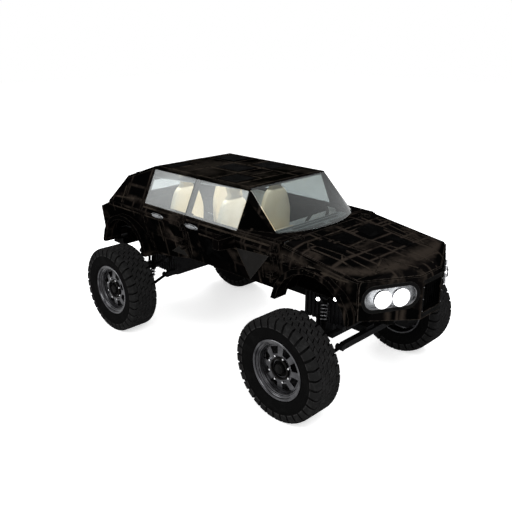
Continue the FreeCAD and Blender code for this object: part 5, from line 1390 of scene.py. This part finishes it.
@dataclass
class DoorPulls:
    """Lens-shaped door pulls in shallow dishes."""

    length: float = 0.224
    height: float = 0.054
    depth: float = 0.019
    offset: float = 0.8125
    rise: float = 1.487
    stations: tuple[tuple[str, float], ...] = (("front", -0.2455), ("rear", -0.8395))

    def build(self) -> None:
        """Make the four pulls."""
        for word, side in SIDES:
            for end, station in self.stations:
                mesh = bmesh.new()
                verts = bmesh.ops.create_uvsphere(mesh, u_segments=32, v_segments=12, radius=1.0)["verts"]
                bmesh.ops.scale(mesh, vec=(self.length / 2, self.depth, self.height / 2), verts=verts)
                bmesh.ops.translate(mesh, vec=(station, side * self.offset, self.rise), verts=verts)
                Piece(f"door_pull_{end}_{word}", f"{end}_door_body_{word}", SATIN_ALUMINIUM, "bare_steel",
                      sharp=60.0).finish_mesh(mesh)


@dataclass
class Seats:
    """Four padded seats, each a cushion and a tall back that narrows like a bottle to its headrest.

    The outline is (height, half width) of a back. The channels are its stitched grooves.
    """

    offset: float = 0.33
    floor: float = 1.11
    back_set: float = 0.055
    back_half: float = 0.048
    foot_swell: float = 0.006
    channel: float = 0.007
    channel_top: float = 1.70
    cushion_ahead: float = 0.25
    cushion_height: float = 1.204
    cushion_half: Spot = (0.243, 0.238, 0.082)
    cushion_crown: float = 0.014
    front_dip: float = 0.012
    outline: Profile = ((1.13, 0.205), (1.25, 0.228), (1.45, 0.236), (1.52, 0.226), (1.62, 0.192),
                        (1.70, 0.158), (1.745, 0.102), (1.775, 0.058), (1.795, 0.060), (1.815, 0.084),
                        (1.85, 0.090), (1.89, 0.084), (1.915, 0.054))

    def half_width(self, height: float) -> float:
        """Half width of the back.

        Args:
            height: Height over the ground.

        Returns:
            The half width there.
        """
        for (low, first), (high, last) in zip(self.outline, self.outline[1:]):
            if height <= high:
                return first + (last - first) * (height - low) / (high - low)
        return self.outline[-1][1]

    def dress(self, mesh: BMesh, name: str, first: str) -> None:
        """Finish one pad and hang it in the cabin.

        Args:
            mesh: The pad's shape.
            name: Name of the piece.
            first: CAD node that it replaces, or nothing.
        """
        Piece(name, "body", SEAT_CLOTH, "seat_cloth", (first,) if first else (), smooth_levels=1, padded=0.8,
              sharp=180.0).finish_mesh(mesh)

    def back(self, name: str, at: float, y: float) -> None:
        """Make one crowned back with two stitched channels.

        Args:
            name: Name of the piece.
            at: Station of its front face.
            y: Its middle line.
        """
        low, high = self.outline[0][0], self.outline[-1][0]
        mesh = bmesh.new()
        bmesh.ops.create_cube(mesh, size=1.0)
        for axis, cuts in ((2, 26), (1, 11), (0, 3)):
            edges = [edge for edge in mesh.edges if abs((edge.verts[0].co - edge.verts[1].co)[axis]) > 0.5]
            bmesh.ops.subdivide_edges(mesh, edges=edges, cuts=cuts, use_grid_fill=axis < 2)
        for vert in mesh.verts:
            x, across, rise = vert.co.x * 2, vert.co.y * 2, vert.co.z + 0.5
            height = low + rise * (high - low)
            half = self.half_width(height)
            thick = self.back_half + self.foot_swell * (1.0 - rise)
            crown = math.sqrt(max(0.0, 1.0 - 0.62 * across ** 2)) * math.sqrt(
                max(0.0, 1.0 - 0.45 * abs(2 * rise - 1) ** 6))
            groove = math.exp(-((abs(across) - 0.45) / 0.09) ** 2)
            stitched = abs(x) > 0.99 and height < self.channel_top
            depth = thick * crown - (self.channel * groove if stitched else 0.0)
            vert.co = Vector((at - self.back_set + x * depth, y + across * half, height))
        self.dress(mesh, name, "")

    def cushion(self, name: str, at: float, y: float, first: str) -> None:
        """Make one crowned cushion with a raised front roll.

        Args:
            name: Name of the piece.
            at: Station of the back's front face.
            y: Its middle line.
            first: CAD node that it replaces, or nothing.
        """
        mesh = bmesh.new()
        bmesh.ops.create_cube(mesh, size=1.0)
        bmesh.ops.subdivide_edges(mesh, edges=mesh.edges, cuts=7, use_grid_fill=True)
        deep, wide, high = self.cushion_half
        for vert in mesh.verts:
            x, across, rise = vert.co.x * 2, vert.co.y * 2, vert.co.z * 2
            crown = (1.0 - across ** 4) * (1.0 - x ** 6)
            pull = 1.0 - 0.05 * rise ** 4 - 0.03 * x ** 4
            groove = math.exp(-((abs(across) - 0.55) / 0.12) ** 2) + math.exp(-(x / 0.12) ** 2)
            lift = 0.0
            if rise > 0.99:
                lift = self.cushion_crown * crown - self.channel * groove * (abs(across) < 0.95)
                lift -= self.front_dip * (x < -0.5)
            vert.co = Vector((at + self.cushion_ahead + x * deep * (1.0 - 0.03 * rise ** 4),
                              y + across * wide * pull, self.cushion_height + rise * high + lift))
        self.dress(mesh, name, first)

    def build(self) -> None:
        """Make both rows."""
        for row, at in (("front", -0.0375), ("rear", -0.8475)):
            first = f"{row}_seats"
            for word, side in SIDES:
                self.cushion(f"{row}_cushion_{word}", at, side * self.offset, first)
                first = ""
                self.back(f"{row}_backrest_{word}", at, side * self.offset)
                y = side * self.offset
                mesh = bmesh.new()
                add_box(mesh, (at - 0.10, y - 0.20, self.floor), (at + 0.46, y + 0.20, self.floor + 0.022))
                Piece(f"{row}_seat_base_{word}", "body", DASH_DARK, "trim_black", bevel=0.004
                      ).finish_mesh(mesh)


@dataclass
class Cabin:
    """Door cards, headlining, the dash's dark slots and the smoothly bowed windscreen."""

    card_thickness: float = 0.006
    inside: float = 0.35
    under_roof: float = 1.70
    over_dash: float = 1.8

    def level(self, near: float, far: float, low: float, high: float, rise: float) -> list[Spot]:
        """Lay out a level rectangle.

        Args:
            near: Station of its rear edge.
            far: Station of its front edge.
            low: Offset of its right edge.
            high: Offset of its left edge.
            rise: Its height.

        Returns:
            Its corners in turn.
        """
        return [(near, low, rise), (far, low, rise), (far, high, rise), (near, high, rise)]

    def lining(self, name: str, body: str, node: str, side: float, outline: list[Point]) -> None:
        """Lay one felt card on the inner face of a door or side.

        Args:
            name: Name of the piece.
            body: Body that it rides on.
            node: CAD node that it lies on.
            side: The side's sign.
            outline: Corners as (station, height) in millimetres.
        """
        drape, mesh = Drape(), bmesh.new()
        corners = [(x / 1000.0, side * self.inside, z / 1000.0) for x, z in outline]
        drape.plate(mesh, drape.tree(node), corners, (0, side, 0), FLANK_CREASE,
                    thickness=self.card_thickness)
        Piece(name, body, CABIN_FELT, "dash_grey", bevel=0.002).finish_mesh(mesh)

    def build(self) -> None:
        """Make the linings, the windscreen and the slots."""
        for word, side in SIDES:
            self.lining(f"front_door_card_{word}", f"front_door_body_{word}", f"front_door_{word}", side,
                        [(-330, 1120), (-360, 1545), (480, 1545), (560, 1120)])
            self.lining(f"rear_door_card_{word}", f"rear_door_body_{word}", f"rear_door_{word}", side,
                        [(-1090, 1330), (-1110, 1545), (-440, 1545), (-440, 1330)])
        screen = bmesh.new()
        screen.from_mesh(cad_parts["windscreen"].data)
        Piece("bowed_windscreen", "body", SCREEN_GLASS, "glass", ("windscreen",), sharp=40.0
              ).finish_mesh(screen)
        drape = Drape()
        mesh = bmesh.new()
        drape.plate(mesh, drape.tree("roof_panel"), self.level(-1.5, 0.36, -0.56, 0.56, self.under_roof),
                    (0, 0, 1), thickness=self.card_thickness)
        Piece("headlining", "body", CABIN_FELT, "dash_grey", bevel=0.002).finish_mesh(mesh)
        tree = drape.tree("dashboard")
        mesh = bmesh.new()
        for near, far, low, high in ((0.672, 0.700, -0.50, 0.50), (0.725, 0.765, -0.30, 0.42),
                                     (0.800, 0.850, -0.52, 0.10), (0.815, 0.885, 0.18, 0.52),
                                     (0.905, 0.925, -0.54, 0.54)):
            drape.plate(mesh, tree, self.level(near, far, low, high, self.over_dash), (0, 0, -1),
                        thickness=0.003)
        Piece("dash_slots", "body", DASH_DARK, "trim_black", bevel=0.001).finish_mesh(mesh)


@dataclass
class Details:
    """Rock lamps under the front arches with glowing faces that are painted highlights for bright glints
    there, frame and bolts of the nose tip, and the mirrors' glass.
    """

    lamp_stations: Profile = ((1.322, 1.061), (1.5266, 1.121))
    lamp_offset: float = 0.57
    lamp_aim: Spot = (0.35, 0.80, -0.1)
    bracket_offset: float = 0.532
    tip_frame: tuple[tuple[float, ...], ...] = (
        (-0.168, -0.149, 1.012, 1.372), (0.149, 0.168, 1.012, 1.372),
        (-0.147, 0.147, 1.3345, 1.372), (-0.147, 0.147, 1.012, 1.0535))
    bolt_offset: float = 0.158
    mirror: Profile = ((0.822, 1.420), (0.986, 1.434), (0.986, 1.514), (0.822, 1.522))
    before_nose: float = 2.4
    behind_mirror: float = 0.1

    def glint_rock_lamps(self) -> None:
        """Make the four rock lamps, each a cup on a bracket with a glowing face, a painted highlight where
        bright glints show.
        """
        housings, lamps = bmesh.new(), bmesh.new()
        for _, side in SIDES:
            for x, z in self.lamp_stations:
                spot = Vector((x, side * self.lamp_offset, z))
                out = Vector((self.lamp_aim[0], side * self.lamp_aim[1], self.lamp_aim[2])).normalized()
                add_rod(housings, spot - out * 0.028, spot + out * 0.006, radius=0.017, end_radius=0.023)
                bracket = Vector((x - 0.01, side * self.bracket_offset, z - 0.02))
                add_rod(housings, spot - out * 0.02, bracket, radius=0.008, sides=10)
                add_rod(lamps, spot + out * 0.0045, spot + out * 0.0085, radius=0.019)
        Piece("rock_lamp_housings", "body", POWDER_COAT, "frame_black", sharp=30.0).finish_mesh(housings)
        # The glowing faces are painted highlights: lit discs put where bright glints show under the front
        # arches.
        Piece("glint_rock_lamps", "body", LAMP_AND_GLINT_GLOW, "lamp", sharp=60.0).finish_mesh(lamps)

    def build(self) -> None:
        """Make the details."""
        self.glint_rock_lamps()
        drape = Drape()
        tree = drape.tree("nose_panel")
        mesh, bolts = bmesh.new(), bmesh.new()
        for low, high, foot, top in self.tip_frame:
            corners = ((low, foot), (high, foot), (high, top), (low, top))
            drape.plate(mesh, tree, [(self.before_nose, y, z) for y, z in corners], (-1, 0, 0),
                        thickness=0.004)
        for y in (-self.bolt_offset, self.bolt_offset):
            drape.rivets(bolts, tree, [(self.before_nose, y, z) for z in (1.02, 1.365)], (-1, 0, 0),
                         spacing=0.11, radius=0.006)
        for word, side in SIDES:
            pane = bmesh.new()
            corners = [(self.behind_mirror, side * y, z) for y, z in self.mirror]
            drape.plate(pane, drape.tree(f"wing_mirror_{word}"), corners, (1, 0, 0), thickness=0.003)
            Piece(f"mirror_glass_{word}", f"front_door_body_{word}", MIRROR_FACE, "glass", bevel=0.0008
                  ).finish_mesh(pane)
        Piece("nose_tip_frame", "body", POWDER_COAT, "frame_black", bevel=0.0015).finish_mesh(mesh)
        Piece("nose_tip_bolts", "body", MACHINED_STEEL, "bare_steel", sharp=30.0).finish_mesh(bolts)


@dataclass
class Headlamps:
    """Pill-shaped lamps: black surround, tray, steel bezel, two lit bowls and a clear lens.

    Sizes of pills and rings are (length, height), depths are (low, high) out of the lamp's face.
    """

    tip: Point = (2.1835, 0.173)
    corner: Point = (1.8935, 0.735)
    rise: float = 1.255
    sides: int = 48
    bowl_offset: float = 0.088
    bowl: Profile = ((0.082, 0.020), (0.084, 0.004), (0.086, 0.001), (0.088, 0.005), (0.087, 0.028),
                     (0.082, 0.028))
    core: Profile = ((0.0, 0.006), (0.055, 0.008), (0.082, 0.014), (0.0, 0.024))
    bowl_steps: int = 40

    def place(self, side: float) -> Matrix:
        """Find the frame of a lamp.

        Args:
            side: The side's sign.

        Returns:
            Frame with X along the pill outward, Y up and Z out of the face.
        """
        tip = Vector((self.tip[0], side * self.tip[1], self.rise))
        corner = Vector((self.corner[0], side * self.corner[1], self.rise))
        along = (corner - tip).normalized()
        out = Vector((abs(along.y), side * abs(along.x), 0.0))
        up = Vector((0.0, 0.0, 1.0))
        turn = Matrix((along, up, out)).transposed().to_4x4()
        return Matrix.Translation((tip + corner) / 2) @ turn

    def outline(self, mesh: BMesh, size: Point, depth: float, filled: bool) -> list:
        """Add a circle that is drawn out to a pill.

        Args:
            mesh: Mesh that gets the outline.
            size: Length and height of the pill.
            depth: Its depth.
            filled: Whether it gets a face.

        Returns:
            Its points.
        """
        length, height = size
        made = bmesh.ops.create_circle(mesh, cap_ends=filled, segments=self.sides, radius=height / 2)["verts"]
        for vert in made:
            vert.co.x += math.copysign((length - height) / 2, vert.co.x) if abs(vert.co.x) > 1e-6 else 0.0
            vert.co.z = depth
        return made

    def pill(self, mesh: BMesh, size: Point, low: float, high: float) -> None:
        """Add a pill-shaped plate.

        Args:
            mesh: Mesh that gets the plate.
            size: Length and height.
            low: Depth of its back.
            high: Depth of its front.
        """
        chosen = set(self.outline(mesh, size, low, True))
        faces = [face for face in mesh.faces if set(face.verts) <= chosen]
        grown = bmesh.ops.extrude_face_region(mesh, geom=faces)
        lifted = [item for item in grown["geom"] if isinstance(item, bmesh.types.BMVert)]
        bmesh.ops.translate(mesh, vec=(0, 0, high - low), verts=lifted)

    def ring(self, mesh: BMesh, outer: Point, inner: Point, low: float, high: float) -> None:
        """Add a pill-shaped ring.

        Args:
            mesh: Mesh that gets the ring.
            outer: Outer length and height.
            inner: Inner length and height.
            low: Depth of its back.
            high: Depth of its front.
        """
        loops = []
        for size, depth in ((outer, low), (outer, high), (inner, high), (inner, low)):
            chosen = set(self.outline(mesh, size, depth, False))
            loops.append([edge for edge in mesh.edges if set(edge.verts) <= chosen])
        for first, second in zip(loops, loops[1:] + loops[:1]):
            bmesh.ops.bridge_loops(mesh, edges=first + second)

    def build(self) -> None:
        """Make both lamps."""
        replaced = ("headlamps",)
        for word, side in SIDES:
            place = self.place(side)
            mesh = bmesh.new()
            self.ring(mesh, (0.578, 0.262), (0.512, 0.192), 0.0008, 0.007)
            Piece(f"lamp_surround_{word}", "body", BLACK_PLASTIC, "trim_black", bevel=0.002
                  ).finish_mesh(mesh, place)
            mesh = bmesh.new()
            self.pill(mesh, (0.516, 0.196), -0.039, -0.034)
            Piece(f"lamp_tray_{word}", "body", SATIN_ALUMINIUM, "bare_steel", replaced
                  ).finish_mesh(mesh, place)
            replaced = ()
            mesh = bmesh.new()
            self.ring(mesh, (0.513, 0.193), (0.500, 0.180), -0.034, 0.004)
            Piece(f"lamp_bezel_{word}", "body", MACHINED_STEEL, "bare_steel", bevel=0.0015
                  ).finish_mesh(mesh, place)
            for name, finish, profile, closed in (("lamp_bowls", CHROME, self.bowl, True),
                                                  ("lamp_cores", LAMP_AND_GLINT_GLOW, self.core, False)):
                mesh = bmesh.new()
                for along in (-self.bowl_offset, self.bowl_offset):
                    turned = Matrix.Translation((along, 0, 0)) @ Matrix.Rotation(math.pi / 2, 4, "X")
                    verts = spin_profile(mesh, profile, self.bowl_steps, closed)
                    bmesh.ops.transform(mesh, matrix=turned, verts=verts)
                Piece(f"{name}_{word}", "body", finish, "lamp", sharp=60.0).finish_mesh(mesh, place)
            mesh = bmesh.new()
            self.pill(mesh, (0.499, 0.179), -0.003, 0.001)
            Piece(f"lamp_lens_{word}", "body", LAMP_GLASS, "lamp", bevel=0.001).finish_mesh(mesh, place)


class Coat(Enum):
    """The finishes that CAD nodes get."""

    BODY = BODY_ENAMEL
    DUSTY = DUSTY_ENAMEL
    ROOF = ROOF_ENAMEL
    COVER = COVER_PLATE
    POWDER = POWDER_COAT
    IRON = CAST_IRON
    STEEL = MACHINED_STEEL
    PLASTIC = BLACK_PLASTIC
    DASH = DASH_PLASTIC
    MAT = FLOOR_MAT
    SCREEN = SCREEN_GLASS
    PANE = SIDE_GLASS
    RED = RED_LENS


@dataclass
class CadDress:
    """Gives every CAD node its finish."""

    def build(self) -> None:
        """Assign a finish to each node's slots."""
        coats = {
            "windscreen": Coat.SCREEN, "tailgate_glass": Coat.PANE, "bonnet": Coat.DUSTY,
            "nose_panel": Coat.DUSTY, "tail_lamps": Coat.RED, "grille": Coat.COVER, "roof_panel": Coat.ROOF,
            "cabin_floor": Coat.MAT, "frame_rails": Coat.POWDER, "frame_crossmembers": Coat.POWDER,
            "front_housing": Coat.IRON, "rear_housing": Coat.IRON, "engine_block": Coat.IRON,
            "rear_bumper": Coat.POWDER, "suspension_arms": Coat.POWDER, "rear_hub_carriers": Coat.IRON,
            "drive_shafts": Coat.STEEL, "dashboard": Coat.DASH, "steering_wheel": Coat.PLASTIC,
        }
        for name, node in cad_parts.items():
            coat = coats.get(name, Coat.BODY)
            if "glass" in name:
                coat = Coat.PANE
            if name.startswith("knuckle"):
                coat = Coat.IRON
            for item in node.material_slots:
                item.material = coat.value.material()
            LOG.info("%s: %s", name, coat.name)


@dataclass
class Stage:
    """Floor, light and camera of the studio."""

    eye: Spot = (4.7795, -4.861, 3.434)
    heading: float = 134.98
    dip: float = -19.54
    lens: float = 44.29

    def build(self) -> None:
        """Lay the floor, hang the lamps and set the camera."""
        scene = bpy.context.scene
        scene.view_settings.view_transform = "Standard"
        mesh = bmesh.new()
        bmesh.ops.create_grid(mesh, x_segments=2, y_segments=2, size=40.0)
        data = bpy.data.meshes.new("studio_floor")
        mesh.to_mesh(data)
        mesh.free()
        floor = bpy.data.objects.new("studio_floor", data)
        scene.collection.objects.link(floor)
        data.materials.append(self.floor_material())
        self.world(scene)
        for name, spot, aim, size, power in (
                ("key_lamp", (5.0, -3.0, 7.0), (0.3, 0.0, 0.8), 4.0, 420.0),
                ("side_lamp", (-3.5, -7.0, 4.5), (0.0, 0.0, 0.9), 4.0, 260.0),
                ("back_lamp", (-5.0, 5.0, 6.0), (0.0, 0.0, 1.0), 4.0, 260.0)):
            light = bpy.data.lights.new(name, "AREA")
            light.size = size
            light.energy = power
            lamp = bpy.data.objects.new(name, light)
            scene.collection.objects.link(lamp)
            lamp.location = spot
            lamp.rotation_euler = (Vector(aim) - Vector(spot)).to_track_quat("-Z", "Y").to_euler()
        dome = bpy.data.lights.new("cabin_lamp", "AREA")
        dome.shape = "RECTANGLE"
        dome.size = 1.7
        dome.size_y = 1.0
        dome.energy = 9.0
        dome.specular_factor = 0.0
        lamp = bpy.data.objects.new("cabin_lamp", dome)
        scene.collection.objects.link(lamp)
        lamp.location = (-0.45, 0.0, 1.74)
        lamp.visible_camera = False
        camera = bpy.data.objects.new("camera", bpy.data.cameras.new("camera"))
        camera.data.lens = self.lens
        camera.data.sensor_width = 36.0
        camera.data.clip_end = 200.0
        scene.collection.objects.link(camera)
        camera.location = self.eye
        turn, dip = math.radians(self.heading), math.radians(self.dip)
        ahead = Vector((math.cos(turn) * math.cos(dip), math.sin(turn) * math.cos(dip), math.sin(dip)))
        camera.rotation_euler = ahead.to_track_quat("-Z", "Y").to_euler()
        scene.camera = camera

    def floor_material(self) -> bpy.types.Material:
        """Make the floor's material: white to the camera, and it still takes the shadow.

        Returns:
            The material.
        """
        made = bpy.data.materials.new("studio_white")
        made.use_nodes = True
        tree = made.node_tree
        tree.nodes.clear()
        matt = add_node(tree, "BsdfDiffuse", inputs={"Color": linear("#F4F4F4")})
        glow = add_node(tree, "Emission", inputs={"Color": linear("#FFFFFF"), "Strength": 0.62})
        both = add_node(tree, "AddShader", inputs={0: matt.outputs[0], 1: glow.outputs[0]})
        path = add_node(tree, "LightPath")
        seen = add_node(tree, "Math", {"operation": "MAXIMUM"}, {
            0: path.outputs["Is Camera Ray"], 1: path.outputs["Is Transmission Ray"]})
        mixed = add_node(tree, "MixShader", inputs={
            0: seen.outputs[0], 1: matt.outputs[0], 2: both.outputs[0]})
        add_node(tree, "OutputMaterial", inputs={"Surface": mixed.outputs[0]})
        return made

    def world(self, scene: bpy.types.Scene) -> None:
        """Make the backdrop: white to the camera and in reflections, softer as light.

        Args:
            scene: Scene that gets the backdrop.
        """
        world = bpy.data.worlds.new("studio_world")
        scene.world = world
        world.use_nodes = True
        tree = world.node_tree
        tree.nodes.clear()
        path = add_node(tree, "LightPath")
        seen = add_node(tree, "Math", {"operation": "MAXIMUM"}, {
            0: path.outputs["Is Camera Ray"], 1: path.outputs["Is Transmission Ray"]})
        seen = add_node(tree, "Math", {"operation": "MAXIMUM"}, {
            0: seen.outputs[0], 1: path.outputs["Is Glossy Ray"]})
        strength = add_node(tree, "MapRange", inputs={"Value": seen.outputs[0], "To Min": 0.7, "To Max": 1.0})
        back = add_node(tree, "Background", inputs={
            "Color": linear("#FFFFFF"), "Strength": strength.outputs[0]})
        add_node(tree, "OutputWorld", inputs={"Surface": back.outputs[0]})


def main() -> None:
    """Build the whole vehicle and its stage."""
    logging.basicConfig(level=logging.INFO, format="%(message)s")
    Stage().build()
    CadDress().build()
    Wheels().build()
    CoilOvers().build()
    Shafts().build()
    Arms().build()
    BodyPanels().build()
    DoorPulls().build()
    Seats().build()
    Cabin().build()
    Details().build()
    Headlamps().build()


if __name__ == "__main__":
    main()
